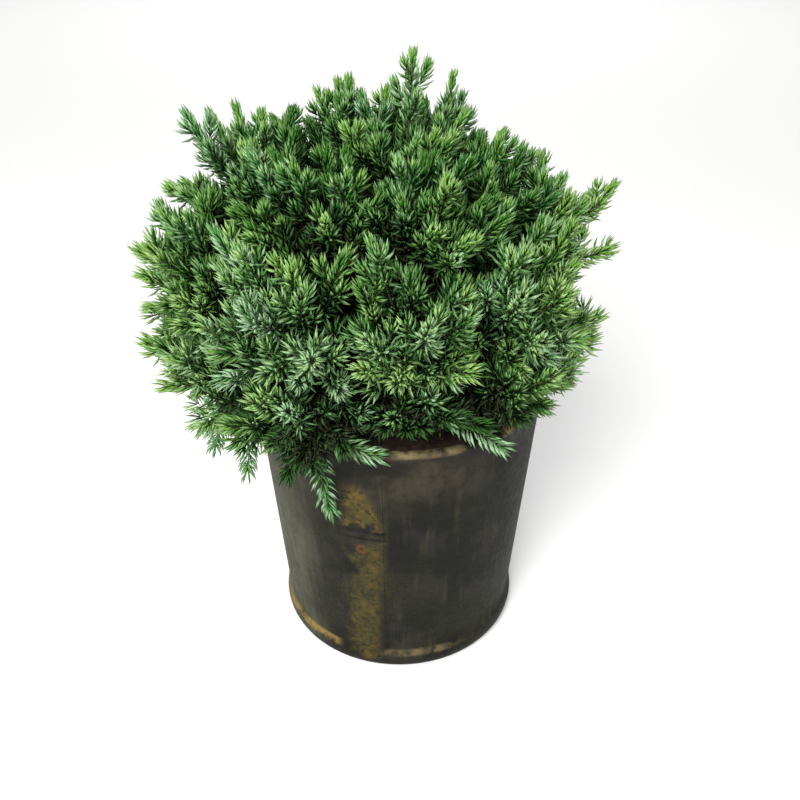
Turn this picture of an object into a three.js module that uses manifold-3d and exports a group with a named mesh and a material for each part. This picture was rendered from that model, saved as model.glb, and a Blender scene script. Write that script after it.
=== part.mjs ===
// A dwarf juniper in a nursery pot: a dense mound of short needled shoots on a short branching stem.
// Millimetres, +Z up. The origin is the centre of the pot's flat underside, and the front is towards -Y.
import * as THREE from "three";
import { mergeVertices } from "three/addons/utils/BufferGeometryUtils.js";
import Module from "manifold-3d";

const wasm = await Module();
wasm.setup();

// Pot: a tapered round pot with a rolled lip, a foot ring, two mould seams and drain holes.
const POT = {
  height: 166,
  rimRadius: 82.5,
  baseRadius: 70.7,
  wall: 2,
  floor: 3,
  lipRadius: 2.6,
  footHeight: 14,
  footBulge: 2.5,
  seamWidth: 2.4,
  seamProud: 0.7,
  seamAzimuth: -7,
  drainHoles: 5,
  drainRadius: 6,
  drainCircle: 54,
  facets: 32,
};
// Soil: fills the pot to a little under the lip, with a lumpy top that rises to the stem.
const SOIL = { topBelowRim: 15, mound: 6, lump: 1.6, facets: POT.facets / 2, rings: 5, seed: 11 };
// Stem: short and stout, with a root flare. It ends where the topmost mass begins.
const STEM = {
  footRadius: 9,
  neckRadius: 7,
  tipRadius: 2.2,
  flareFade: 12,
  straight: 0.35,
  sway: 9,
  facets: 8,
  steps: 7,
};
// Boughs: one to a mass, straightening towards the mass over the last part of their length.
const BOUGH = { rootRadius: 2.3, tipRadius: 1.5, straight: 0.45, facets: 5, steps: 3 };
// Crown: how far the shoot tips reach from its heart, by elevation, and how low its hem hangs.
const CROWN = {
  heart: new THREE.Vector3(-5, 4, POT.height + 6),
  hemReach: 101,
  shoulderReach: 150.5,
  hemElevation: -30,
  shoulderElevation: 48,
  lopsided: 0.14,
  evening: 0.5,
  hem: -13,
  hemTilt: 14,
  hemLowSide: -90,
  seed: 105,
};
// Parting: where the foliage stands back at the front, and the pot's lip shows.
const PARTING = { azimuth: 9, halfWidth: 26, hem: 10, shorter: 0.16, highest: 40 };
// Tiers of masses from the skirt over the rim to the top. Elevations are seen from the crown's heart, and
// a tier's boughs leave the stem between two shares of its length, by turns of the given stride.
const TIERS = [
  { name: "skirt", count: 10, first: 10, elevation: 8, lowest: 0.07, highest: 0.3, stride: 3 },
  { name: "waist", count: 9, first: 9, elevation: 35, lowest: 0.34, highest: 0.6, stride: 4 },
  { name: "shoulder", count: 6, first: 23, elevation: 62, lowest: 0.64, highest: 0.88, stride: 5 },
  { name: "top", count: 1, first: 90, elevation: 86, lowest: 1, highest: 1, stride: 1 },
];
// Leaders that stand out of the mound. The nearest mass grows along each of them.
const LEADERS = [
  { azimuth: 90, elevation: 86, extra: 22 },
  { azimuth: -92, elevation: 54, extra: 19 },
  { azimuth: 90, elevation: 42, extra: 18 },
  { azimuth: -92, elevation: 26, extra: 5 },
  { azimuth: -157, elevation: 62, extra: 10 },
  { azimuth: 146, elevation: 62, extra: 9 },
];
// Mass: its places along its reach, and its core, a ball whose faces are drawn out to points.
const MASS = {
  footShare: 0.4,
  innerRoot: 0.46,
  outerRoot: 0.6,
  stemEnd: 0.66,
  spaceShare: 0.76,
  coreShare: 0.58,
  coreAcross: 0.14,
  coreAlong: 0.13,
  coreSpike: 1.5,
  coreLump: 0.15,
};
// Spray: a twig whose end bears whorls of three needles. Each stands for a branchlet of several shoots.
const SPRAY = {
  count: 7,
  fan: 27,
  wobble: 5,
  shallowest: 0.9,
  longest: 0.9,
  twigRadius: 1.8,
  whorls: 3,
  pitch: 8,
  point: 11,
  needleOut: 8.5,
  needleForward: 6.5,
  narrowing: 0.5,
};
const SIDES = 6;
const GAP = 0.3;
const SPACE_MARGIN = 0.4;
const POT_CLEARANCE = 4;
const GUARD_ABOVE = 1.5;
const RIM_CLEARANCE = 14;
const GOLDEN_ANGLE = 137.5;

const radians = THREE.MathUtils.degToRad;
const degrees = THREE.MathUtils.radToDeg;
const { lerp, smoothstep } = THREE.MathUtils;
const UP = new THREE.Vector3(0, 0, 1);

// A seeded random source: the same seed gives the same plant.
function randomFrom(seed) {
  let state = seed | 0;
  return () => {
    state = (state + 0x6d2b79f5) | 0;
    let t = Math.imul(state ^ (state >>> 15), 1 | state);
    t = (t + Math.imul(t ^ (t >>> 7), 61 | t)) ^ t;
    return ((t ^ (t >>> 14)) >>> 0) / 4294967296;
  };
}

// Azimuth 0 faces the front and 90 the right. Elevation is above the horizon. Both are in degrees.
function towards(azimuth, elevation) {
  const a = radians(azimuth);
  const e = radians(elevation);
  return new THREE.Vector3(Math.cos(e) * Math.sin(a), -Math.cos(e) * Math.cos(a), Math.sin(e));
}

const azimuthOf = (direction) => degrees(Math.atan2(direction.x, -direction.y));
const elevationOf = (direction) => degrees(Math.asin(THREE.MathUtils.clamp(direction.z, -1, 1)));

// A point at a share of the reach from the crown's heart.
function outFromHeart(direction, distance) {
  return CROWN.heart.clone().addScaledVector(direction, distance);
}

// Solids for cutting and joining, and back to meshes.
function solidOf(geometry) {
  const bare = geometry.clone();
  for (const name of ["normal", "uv"]) bare.deleteAttribute(name);
  const merged = mergeVertices(bare, 1e-3);
  return new wasm.Manifold(
    new wasm.Mesh({
      numProp: 3,
      vertProperties: merged.attributes.position.array,
      triVerts: new Uint32Array(merged.index.array),
    }),
  );
}

function geometryOf(solid) {
  const mesh = solid.getMesh();
  const geometry = new THREE.BufferGeometry();
  geometry.setAttribute("position", new THREE.BufferAttribute(mesh.vertProperties, 3));
  geometry.setIndex(new THREE.BufferAttribute(mesh.triVerts, 1));
  geometry.computeVertexNormals();
  return geometry;
}

const joined = (solids) => solids.reduce((sum, solid) => sum.add(solid));

// The largest of the pieces that a cut leaves.
function withoutScraps(solid) {
  const pieces = solid.decompose();
  return pieces.reduce((best, piece) => (piece.volume() > best.volume() ? piece : best));
}

// A closed profile, as [radius, height] corners that start and end on the axis, turned about Z.
function turned(profile, facets) {
  const corners = profile.map(([r, z]) => new THREE.Vector2(r, z));
  const lathe = new THREE.LatheGeometry(corners, facets).rotateX(Math.PI / 2);
  for (const name of ["normal", "uv"]) lathe.deleteAttribute(name);
  return mergeVertices(lathe, 1e-3);
}

function potRadiusAt(z) {
  return lerp(POT.baseRadius, POT.rimRadius, z / POT.height);
}

function potProfile() {
  const foot = POT.footHeight;
  const footEdge = potRadiusAt(0);
  const corners = [
    [0, 0],
    [footEdge - 1, 0],
    [footEdge + POT.footBulge * 0.8, foot * 0.22],
    [footEdge + POT.footBulge, foot * 0.5],
    [footEdge + POT.footBulge * 0.7, foot * 0.8],
    [potRadiusAt(foot), foot],
  ];
  const lipCentre = POT.height - POT.lipRadius;
  for (const turn of [-60, -20, 20, 60, 100, 140]) {
    const a = radians(turn);
    const r = potRadiusAt(lipCentre) - POT.wall / 2 + POT.lipRadius * Math.cos(a);
    corners.push([r, lipCentre + POT.lipRadius * Math.sin(a)]);
  }
  corners.push([potRadiusAt(lipCentre) - POT.wall, lipCentre - POT.lipRadius]);
  corners.push([potRadiusAt(POT.floor) - POT.wall, POT.floor], [0, POT.floor]);
  return corners;
}

// A mould seam: a flat ridge up the wall, from the foot ring to the lip.
function seamRidge(azimuth) {
  const height = POT.height - 2 * POT.lipRadius - POT.footHeight;
  const middle = POT.footHeight + height / 2;
  const slope = Math.atan2(POT.rimRadius - POT.baseRadius, POT.height);
  const ridge = new THREE.BoxGeometry(POT.seamWidth, POT.wall, height).rotateX(slope);
  ridge.translate(0, POT.wall / 2 - potRadiusAt(middle) - POT.seamProud, middle);
  return solidOf(ridge.rotateZ(radians(azimuth)));
}

function drainHole(azimuth) {
  const hole = new THREE.CylinderGeometry(POT.drainRadius, POT.drainRadius, 4 * POT.floor, 12);
  const at = towards(azimuth, 0).multiplyScalar(POT.drainCircle);
  return solidOf(hole.rotateX(Math.PI / 2).translate(at.x, at.y, 0));
}

function makePot() {
  const shell = solidOf(turned(potProfile(), POT.facets));
  const seams = [POT.seamAzimuth, POT.seamAzimuth + 180].map(seamRidge);
  const turns = Array.from({ length: POT.drainHoles }, (_, i) => (360 / POT.drainHoles) * i);
  return joined([shell, ...seams]).subtract(joined(turns.map(drainHole)));
}

function makeSoil() {
  const random = randomFrom(SOIL.seed);
  const top = POT.height - SOIL.topBelowRim;
  const bottom = POT.floor + GAP;
  const edge = potRadiusAt(top) - POT.wall - GAP;
  const profile = [[0, bottom], [potRadiusAt(bottom) - POT.wall - GAP, bottom], [edge, top]];
  for (let ring = 1; ring <= SOIL.rings; ring += 1) {
    const share = ring / SOIL.rings;
    profile.push([edge * (1 - share), top + SOIL.mound * share]);
  }
  const soil = turned(profile, SOIL.facets);
  const position = soil.attributes.position;
  for (let i = 0; i < position.count; i += 1) {
    const r = Math.hypot(position.getX(i), position.getY(i));
    const isLoose = position.getZ(i) > top + 0.5 && r > STEM.footRadius + 4;
    if (isLoose) position.setZ(i, position.getZ(i) + (random() - 0.5) * 2 * SOIL.lump);
  }
  return solidOf(soil);
}

// A round limb along a curve, tapering from its root to its tip, with flat ends.
function limb(curve, radiusAt, facets, steps) {
  const geometry = new THREE.CylinderGeometry(1, 1, 1, facets, steps);
  const position = geometry.attributes.position;
  const frames = curve.computeFrenetFrames(steps, false);
  for (let i = 0; i < position.count; i += 1) {
    const share = position.getY(i) + 0.5;
    const step = Math.round(share * steps);
    const r = radiusAt(share);
    const at = curve.getPointAt(share);
    at.addScaledVector(frames.normals[step], r * position.getX(i));
    at.addScaledVector(frames.binormals[step], -r * position.getZ(i));
    position.setXYZ(i, at.x, at.y, at.z);
  }
  return geometry;
}

// How far the crown reaches in a direction: more above than at the skirt, and more to the left.
function reachTowards(direction) {
  const rise = smoothstep(elevationOf(direction), CROWN.hemElevation, CROWN.shoulderElevation);
  const level = lerp(CROWN.hemReach, CROWN.shoulderReach, rise);
  const low = 1 - smoothstep(elevationOf(direction), PARTING.hem, PARTING.highest);
  const parted = 1 - PARTING.shorter * low * partingAt(azimuthOf(direction));
  return level * parted * (1 - CROWN.lopsided * direction.x * (1 - CROWN.evening * rise));
}

// How far an azimuth is inside the parting, from 0 outside it to 1 in its middle half.
function partingAt(azimuth) {
  return 1 - smoothstep(Math.abs(azimuth - PARTING.azimuth) / PARTING.halfWidth, 0.5, 1);
}

// The lowest elevation that the foliage hangs to, by azimuth.
function hemAt(azimuth) {
  const hanging = CROWN.hem - CROWN.hemTilt * Math.cos(radians(azimuth - CROWN.hemLowSide));
  return lerp(hanging, PARTING.hem, partingAt(azimuth));
}

// The masses of foliage: a direction from the heart, a reach, and a place in the order of boughs.
function planMasses() {
  const masses = [];
  for (const tier of TIERS) {
    for (let i = 0; i < tier.count; i += 1) {
      const direction = towards(tier.first + (360 / tier.count) * i, tier.elevation);
      const place = (i * tier.stride) % tier.count;
      const leaves = lerp(tier.lowest, tier.highest, place / tier.count);
      const name = `${tier.name}_${String(i + 1).padStart(2, "0")}`;
      masses.push({ name, direction, leaves, reach: reachTowards(direction) });
    }
  }
  for (const leader of LEADERS) {
    const direction = towards(leader.azimuth, leader.elevation);
    const nearest = masses.reduce((a, b) =>
      a.direction.angleTo(direction) < b.direction.angleTo(direction) ? a : b,
    );
    nearest.direction = direction;
    nearest.reach = reachTowards(direction) + leader.extra;
  }
  masses.forEach((mass, i) => {
    mass.random = randomFrom(CROWN.seed + 101 * i);
    mass.foot = outFromHeart(mass.direction, MASS.footShare * mass.reach);
    mass.space = outFromHeart(mass.direction, MASS.spaceShare * mass.reach);
  });
  return masses;
}

const masses = planMasses();
const topMass = masses[masses.length - 1];
const soilTop = POT.height - SOIL.topBelowRim + SOIL.mound;

// The stem's line: upright from the middle of the soil, then swaying to the foot of the topmost mass.
function stemLine() {
  const foot = new THREE.Vector3(0, 0, soilTop + GAP);
  const tip = topMass.foot.clone().addScaledVector(UP, -GAP);
  const pull = (tip.z - foot.z) * STEM.straight;
  const low = foot.clone().addScaledVector(UP, pull);
  const high = tip.clone().addScaledVector(UP, -pull);
  high.x -= STEM.sway;
  return new THREE.CubicBezierCurve3(foot, low, high, tip);
}

const stemCurve = stemLine();

function stemRadiusAt(share) {
  const flare = (STEM.footRadius - STEM.neckRadius) * Math.exp(-share * STEM.flareFade);
  return lerp(STEM.neckRadius, STEM.tipRadius, share) + flare;
}

const stemGeometry = (spare) =>
  limb(stemCurve, (share) => stemRadiusAt(share) + spare, STEM.facets, STEM.steps);

function boughGeometry(mass, spare) {
  const root = stemCurve.getPointAt(mass.leaves);
  const straight = -BOUGH.straight * mass.foot.distanceTo(root);
  const bend = mass.foot.clone().addScaledVector(mass.direction, straight);
  const curve = new THREE.QuadraticBezierCurve3(root, bend, mass.foot);
  const radiusAt = (share) => lerp(BOUGH.rootRadius, BOUGH.tipRadius, share) + spare;
  return limb(curve, radiusAt, BOUGH.facets, BOUGH.steps);
}

// A mass's space is what lies nearer to its own middle than to any other mass's.
function isInSpace(point, mass) {
  return masses.every((other) => {
    if (other === mass) return true;
    const across = other.space.clone().sub(mass.space);
    const middle = mass.space.clone().add(other.space).multiplyScalar(0.5);
    return point.clone().sub(middle).dot(across.normalize()) < -SPACE_MARGIN;
  });
}

// Foliage stays out of a plain cone round the pot and the space in it.
function isClearOfPot(point) {
  const outer = potRadiusAt(point.z) + POT_CLEARANCE;
  return point.z > POT.height + GUARD_ABOVE || Math.hypot(point.x, point.y) > outer;
}

const potGuard = solidOf(
  turned(
    [
      [0, 0],
      [POT.baseRadius + POT_CLEARANCE, 0],
      [POT.rimRadius + POT_CLEARANCE, POT.height + GUARD_ABOVE],
      [0, POT.height + GUARD_ABOVE],
    ],
    POT.facets,
  ),
);

// A mass's core, whose corners are drawn in wherever they would leave the mass's space.
function coreGeometry(mass) {
  const ball = new THREE.IcosahedronGeometry(1, 0).attributes.position;
  const corners = [];
  for (let face = 0; face < ball.count; face += 3) {
    const [a, b, c] = [0, 1, 2].map((i) => new THREE.Vector3().fromBufferAttribute(ball, face + i));
    const point = a.clone().add(b).add(c).setLength(MASS.coreSpike);
    corners.push(a, b, point, b, c, point, c, a, point);
  }
  const core = mergeVertices(new THREE.BufferGeometry().setFromPoints(corners), 1e-3);
  const position = core.attributes.position;
  const turn = new THREE.Quaternion().setFromUnitVectors(UP, mass.direction);
  const size = new THREE.Vector3(MASS.coreAcross, MASS.coreAcross, MASS.coreAlong);
  const middle = outFromHeart(mass.direction, mass.reach * MASS.coreShare);
  const out = new THREE.Vector3();
  for (let i = 0; i < position.count; i += 1) {
    const lump = 1 + (mass.random() - 0.5) * 2 * MASS.coreLump;
    out.fromBufferAttribute(position, i).multiply(size).multiplyScalar(mass.reach * lump);
    out.applyQuaternion(turn);
    const at = out.clone().add(middle);
    for (let share = 1; share > 0.2 && !(isInSpace(at, mass) && isClearOfPot(at)); share -= 0.05) {
      at.copy(middle).addScaledVector(out, share);
    }
    position.setXYZ(i, at.x, at.y, at.z);
  }
  return core;
}

// A spray from a place on the mass's stem to a tip on the crown's surface. One that hangs rises clear
// of the rim first.
function sprayTowards(mass, direction, spread, depth, roll) {
  const rootShare = lerp(MASS.outerRoot, MASS.innerRoot, spread);
  const root = outFromHeart(mass.direction, mass.reach * rootShare);
  const tip = outFromHeart(direction, depth);
  const between = mass.direction.clone().add(direction).normalize();
  const knee = outFromHeart(between, lerp(root.distanceTo(CROWN.heart), depth, 0.5));
  const rimClear = POT.height + RIM_CLEARANCE;
  if (tip.z < rimClear) knee.z = Math.max(knee.z, rimClear);
  const heading = tip.clone().sub(root).normalize();
  const turn = new THREE.Quaternion().setFromUnitVectors(UP, heading);
  const across = new THREE.Vector3(Math.cos(roll), Math.sin(roll), 0).applyQuaternion(turn);
  return { curve: new THREE.QuadraticBezierCurve3(root, knee, tip), across };
}

// The corners of a spray: rings of six round its curve, of which three in each whorl are needle tips.
function sprayCorners({ curve, across }) {
  const length = curve.getLength();
  const corners = [];
  for (let ring = 0; ring <= SPRAY.whorls; ring += 1) {
    const fromTip = SPRAY.point + SPRAY.pitch * (SPRAY.whorls - ring);
    const share = 1 - Math.min(fromTip, SPRAY.longest * length) / length;
    const centre = curve.getPointAt(share);
    const forward = curve.getTangentAt(share);
    const side = across.clone().addScaledVector(forward, -across.dot(forward)).normalize();
    const other = forward.clone().cross(side);
    const slimmer = 1 - SPRAY.narrowing * Math.max(0, (ring - 1) / (SPRAY.whorls - 1));
    for (let turn = 0; turn < SIDES; turn += 1) {
      const around = (turn / SIDES) * 2 * Math.PI;
      const isNeedle = ring > 0 && (ring + turn) % 2 === 0;
      const out = (isNeedle ? SPRAY.needleOut : SPRAY.twigRadius) * slimmer;
      const corner = centre.clone();
      corner.addScaledVector(side, out * Math.cos(around));
      corner.addScaledVector(other, out * Math.sin(around));
      if (isNeedle) corner.addScaledVector(forward, SPRAY.needleForward * slimmer);
      corners.push(corner);
    }
  }
  return [...corners, curve.getPointAt(0), curve.getPointAt(1)];
}

// The faces of a spray. Each four-cornered side is split between its two hollows, which keeps the
// needles sharp.
function sprayFaces() {
  const faces = [];
  const foot = SIDES * (SPRAY.whorls + 1);
  const tip = foot + 1;
  const number = (ring, turn) => SIDES * ring + (turn % SIDES);
  for (let turn = 0; turn < SIDES; turn += 1) {
    faces.push(foot, number(0, turn + 1), number(0, turn));
    for (let ring = 0; ring < SPRAY.whorls; ring += 1) {
      const [a, b] = [number(ring, turn), number(ring, turn + 1)];
      const [d, c] = [number(ring + 1, turn), number(ring + 1, turn + 1)];
      if ((ring + turn) % 2 === 0) faces.push(a, b, d, b, c, d);
      else faces.push(a, b, c, a, c, d);
    }
    faces.push(number(SPRAY.whorls, turn), number(SPRAY.whorls, turn + 1), tip);
  }
  return faces;
}

// The sprays of a mass fan out to the crown's surface by the golden angle. One that would leave the
// mass's space or touch the pot is turned in towards the mass's middle, and then left out.
function massSprays(mass) {
  const { random } = mass;
  const turn = new THREE.Quaternion().setFromUnitVectors(UP, mass.direction);
  const first = random() * 360;
  const faces = sprayFaces();
  const sprays = [];
  for (let k = 0; k < SPRAY.count; k += 1) {
    const spread = Math.sqrt(k / (SPRAY.count - 1));
    const off = radians(SPRAY.fan * spread + (k > 0 ? (random() - 0.5) * SPRAY.wobble : 0));
    const around = radians(first + GOLDEN_ANGLE * k);
    const share = k > 0 ? lerp(SPRAY.shallowest, 1, random()) : 1;
    const roll = random() * Math.PI;
    const outer = new THREE.Vector3(Math.cos(around), Math.sin(around), 0).multiplyScalar(Math.sin(off));
    outer.z = Math.cos(off);
    outer.applyQuaternion(turn);
    for (let inward = 0; inward < 0.75; inward += 0.15) {
      let direction = outer.clone().lerp(mass.direction, inward).normalize();
      const azimuth = azimuthOf(direction);
      direction = towards(azimuth, Math.max(elevationOf(direction), hemAt(azimuth)));
      const depth = k > 0 ? reachTowards(direction) * share : mass.reach;
      const corners = sprayCorners(sprayTowards(mass, direction, spread, depth, roll));
      const spray = solidOf(new THREE.BufferGeometry().setFromPoints(corners).setIndex(faces));
      if (corners.every((at) => isInSpace(at, mass)) && spray.intersect(potGuard).isEmpty()) {
        sprays.push(spray);
        break;
      }
    }
  }
  return sprays;
}

function makeMass(mass, limbs) {
  const foot = mass.foot.clone().addScaledVector(mass.direction, GAP);
  const line = new THREE.LineCurve3(foot, outFromHeart(mass.direction, mass.reach * MASS.stemEnd));
  const stem = limb(line, () => BOUGH.tipRadius, 3, 1);
  const core = solidOf(coreGeometry(mass)).subtract(potGuard);
  const parts = [solidOf(stem), core, ...massSprays(mass)];
  return withoutScraps(joined(parts).subtract(limbs));
}

const bark = new THREE.MeshStandardMaterial({ color: 0x4a3628, roughness: 0.9, metalness: 0 });
const foliage = new THREE.MeshStandardMaterial({ color: 0x3f7a3c, roughness: 0.7, metalness: 0 });
const potting = new THREE.MeshStandardMaterial({ color: 0x2a1f17, roughness: 1, metalness: 0 });
const plastic = new THREE.MeshStandardMaterial({ color: 0x34332c, roughness: 0.55, metalness: 0 });

const plant = new THREE.Group();
function place(name, solid, material) {
  const mesh = new THREE.Mesh(geometryOf(solid), material);
  mesh.name = name;
  plant.add(mesh);
}

place("pot", makePot(), plastic);
place("soil", makeSoil(), potting);
place("stem", solidOf(stemGeometry(0)), bark);

const fatStem = solidOf(stemGeometry(GAP));
const boughed = masses.filter((mass) => mass !== topMass);
const fatBoughs = joined(boughed.map((mass) => solidOf(boughGeometry(mass, GAP))));
const limbs = fatStem.add(fatBoughs);
for (const mass of boughed) {
  const bough = solidOf(boughGeometry(mass, 0)).subtract(fatStem);
  place(`bough_${mass.name}`, withoutScraps(bough), bark);
}
for (const mass of masses) place(`foliage_${mass.name}`, makeMass(mass, limbs), foliage);

export default plant;
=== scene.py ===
"""A dwarf juniper in a nursery pot: needled shoots, bark, potting mix and a mud-stained plastic pot.

Metres, +Z up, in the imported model's frame. The origin is the centre of the pot's flat underside, and the
front is towards -Y. The crown grows by the rule of the solids, carried on to finer shoots and needles.
"""

import logging
import math
from dataclasses import dataclass, field
from enum import Enum

import bmesh
import bpy
import numpy as np
from mathutils import Matrix, Vector, noise


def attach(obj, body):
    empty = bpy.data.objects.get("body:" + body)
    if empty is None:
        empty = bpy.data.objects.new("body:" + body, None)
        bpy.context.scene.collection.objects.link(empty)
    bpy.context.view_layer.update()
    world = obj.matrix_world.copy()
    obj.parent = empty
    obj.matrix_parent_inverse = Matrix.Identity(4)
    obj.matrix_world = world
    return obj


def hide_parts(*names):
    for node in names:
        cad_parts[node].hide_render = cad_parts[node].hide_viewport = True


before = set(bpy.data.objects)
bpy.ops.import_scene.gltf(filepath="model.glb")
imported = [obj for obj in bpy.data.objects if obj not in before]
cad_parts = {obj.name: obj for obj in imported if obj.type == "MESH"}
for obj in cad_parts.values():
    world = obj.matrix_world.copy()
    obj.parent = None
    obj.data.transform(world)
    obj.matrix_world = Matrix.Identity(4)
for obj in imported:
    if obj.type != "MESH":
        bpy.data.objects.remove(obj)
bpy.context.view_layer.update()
LOG = logging.getLogger("juniper")

Colour = tuple[float, float, float]
Pair = tuple[float, float]  # two limits, or a pattern's scale and detail
UP = np.array((0.0, 0.0, 1.0))
MM = 0.001
GOLDEN_ANGLE = math.radians(137.5)
WORD = 0xFFFFFFFF
DRAW_STEP = 0x6D2B79F5
MERGED = 0.01 * MM
CURVE_POINTS = 201
HEADING_STEP = 0.002


class Slot(Enum):
    """The record's material slots."""

    POT = "pot"
    SOIL = "soil"
    BARK = "bark"
    FOLIAGE = "foliage"


class Draws:
    """A seeded source of random numbers, the same as the solids use."""

    def __init__(self, seed: int) -> None:
        """Starts the source.

        Args:
            seed: The same seed gives the same plant.
        """
        self.state = seed & WORD

    def next(self) -> float:
        """Draws a number.

        Returns:
            A number from 0 up to 1.
        """
        self.state = (self.state + DRAW_STEP) & WORD
        t = ((self.state ^ (self.state >> 15)) * (1 | self.state)) & WORD
        t = ((t + (t ^ (t >> 7)) * (61 | t)) & WORD) ^ t
        return (t ^ (t >> 14)) / (WORD + 1)


def unit(vectors: np.ndarray) -> np.ndarray:
    """Gives vectors a length of 1."""
    return vectors / np.linalg.norm(vectors, axis=-1, keepdims=True)


def dot(a: np.ndarray, b: np.ndarray) -> np.ndarray:
    """Gives the dot product of each pair of vectors."""
    return np.sum(a * b, axis=-1)


def lerp(low: float, high: float, share: float) -> float:
    """Gives the value at a share of the way from low to high."""
    return low + (high - low) * share


def smoothstep(value: np.ndarray, low: float, high: float) -> np.ndarray:
    """Eases from 0 at low to 1 at high."""
    share = np.clip((value - low) / (high - low), 0, 1)
    return share * share * (3 - 2 * share)


def towards(azimuth: float, elevation: float) -> np.ndarray:
    """Gives a direction.

    Args:
        azimuth: Degrees round from the front, with 90 to the right.
        elevation: Degrees above the horizon.

    Returns:
        A unit vector.
    """
    a, e = math.radians(azimuth), math.radians(elevation)
    return np.array((math.cos(e) * math.sin(a), -math.cos(e) * math.cos(a), math.sin(e)))


def azimuth_of(direction: np.ndarray) -> np.ndarray:
    """Gives the azimuth of each direction, in degrees."""
    return np.degrees(np.arctan2(direction[..., 0], -direction[..., 1]))


def elevation_of(direction: np.ndarray) -> np.ndarray:
    """Gives the elevation of each direction, in degrees."""
    return np.degrees(np.arcsin(np.clip(direction[..., 2], -1, 1)))


def inside_zone(azimuth: np.ndarray, middle: float, half_width: float) -> np.ndarray:
    """Gives how far azimuths are inside a zone, from 0 outside it to 1 in its middle half.

    Args:
        azimuth: The azimuths, in degrees.
        middle: The azimuth of the zone's middle.
        half_width: Half of its width.

    Returns:
        A number for each azimuth.
    """
    return 1 - smoothstep(np.abs(azimuth - middle) / half_width, 0.5, 1)


def turn_up_to(direction: np.ndarray) -> np.ndarray:
    """Gives the smallest turn that takes the upward axis to a direction.

    Args:
        direction: A unit vector that doesn't point straight down.

    Returns:
        A 3 by 3 matrix.
    """
    x, y, z = direction
    across = np.array(((0, 0, x), (0, 0, y), (-x, -y, 0)))
    return np.eye(3) + across + across @ across / (1 + z)


def fanned(turn: np.ndarray, around: float, off: float) -> np.ndarray:
    """Gives a direction that leans away from a line.

    Args:
        turn: The turn that takes the upward axis to the line.
        around: The direction's angle round the line, in radians.
        off: Its angle from the line, in radians.

    Returns:
        A unit vector.
    """
    level = math.sin(off)
    return turn @ np.array((math.cos(around) * level, math.sin(around) * level, math.cos(off)))


def bend_at(root: np.ndarray, bend: np.ndarray, tip: np.ndarray, t: np.ndarray) -> np.ndarray:
    """Gives points on curves of three control points.

    Args:
        root: Where each curve starts.
        bend: Its middle control point.
        tip: Where it ends.
        t: The curve parameters, from 0 to 1.

    Returns:
        The points.
    """
    return root * (1 - t) ** 2 + bend * 2 * t * (1 - t) + tip * t * t


class Bezier:
    """A smooth curve of three or four control points, measured along its length."""

    def __init__(self, *controls: np.ndarray) -> None:
        """Measures the curve.

        Args:
            controls: The control points, from root to tip.
        """
        self.controls = np.array(controls, float)
        self.steps = np.linspace(0, 1, CURVE_POINTS)
        points = self.point(self.steps)
        pieces = np.linalg.norm(np.diff(points, axis=0), axis=1)
        self.travelled = np.concatenate(((0.0,), np.cumsum(pieces)))
        self.length = float(self.travelled[-1])

    def point(self, t: np.ndarray) -> np.ndarray:
        """Gives points on the curve.

        Args:
            t: The curve parameters, from 0 to 1.

        Returns:
            The points, as rows.
        """
        t = np.atleast_1d(np.asarray(t, float))[:, None]
        level = [np.broadcast_to(c, (len(t), 3)) for c in self.controls]
        while len(level) > 1:
            level = [a * (1 - t) + b * t for a, b in zip(level[:-1], level[1:])]
        return level[0]

    def at(self, share: np.ndarray) -> np.ndarray:
        """Gives the points at shares of the length."""
        return self.point(np.interp(np.asarray(share) * self.length, self.travelled, self.steps))

    def heading(self, share: np.ndarray) -> np.ndarray:
        """Gives the curve's directions.

        Args:
            share: Shares of the length.

        Returns:
            The unit tangents, as rows.
        """
        share = np.atleast_1d(np.asarray(share, float))
        ahead, behind = np.minimum(share + HEADING_STEP, 1), np.maximum(share - HEADING_STEP, 0)
        return unit(self.at(ahead) - self.at(behind))

    def section(self, start: float, end: float) -> np.ndarray:
        """Gives three control points that follow a stretch of the curve.

        Args:
            start: The share of the length where the stretch starts.
            end: The share where it ends.

        Returns:
            Root, bend and tip, as a 3 by 3 array.
        """
        root, middle, tip = self.at((start, (start + end) / 2, end))
        return np.array((root, 2 * middle - (root + tip) / 2, tip))


@dataclass
class Vessel:
    """The pot's driving sizes, which soil and foliage keep clear of."""

    height: float = 166 * MM
    rim_radius: float = 82.5 * MM
    base_radius: float = 70.7 * MM
    wall: float = 2 * MM
    floor: float = 3 * MM
    soil_below_rim: float = 15 * MM
    soil_mound: float = 6 * MM
    clearance: float = 4 * MM
    guard_above: float = 1.5 * MM

    def radius_at(self, z: np.ndarray) -> np.ndarray:
        """Gives the wall's outer radius at a height."""
        return self.base_radius + (self.rim_radius - self.base_radius) * z / self.height

    def is_clear(self, points: np.ndarray, clearance: float) -> np.ndarray:
        """Tells which points are outside the pot and the space in it.

        Args:
            points: Points, as rows.
            clearance: How far from the wall they have to be.

        Returns:
            A true or false for each point.
        """
        z = points[..., 2]
        out = np.hypot(points[..., 0], points[..., 1])
        return (z > self.height + self.guard_above) | (out > self.radius_at(z) + clearance)


@dataclass
class Mass:
    """One mass of foliage, with its place in the crown."""

    name: str
    direction: np.ndarray
    leaves: float
    reach: float
    draws: Draws
    foot: np.ndarray
    space: np.ndarray


@dataclass
class Spray:
    """A branchlet from a mass's stem to a tip on the crown's surface."""

    curve: Bezier
    depth: float
    is_main: bool


@dataclass(frozen=True)
class Tier:
    """A ring of masses at one elevation, whose boughs leave the stem between two shares of its length."""

    name: str
    count: int
    first: float
    elevation: float
    lowest: float
    highest: float
    stride: int


@dataclass(frozen=True)
class Leader:
    """A direction in which one mass stands out of the mound."""

    azimuth: float
    elevation: float
    extra: float


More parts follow.
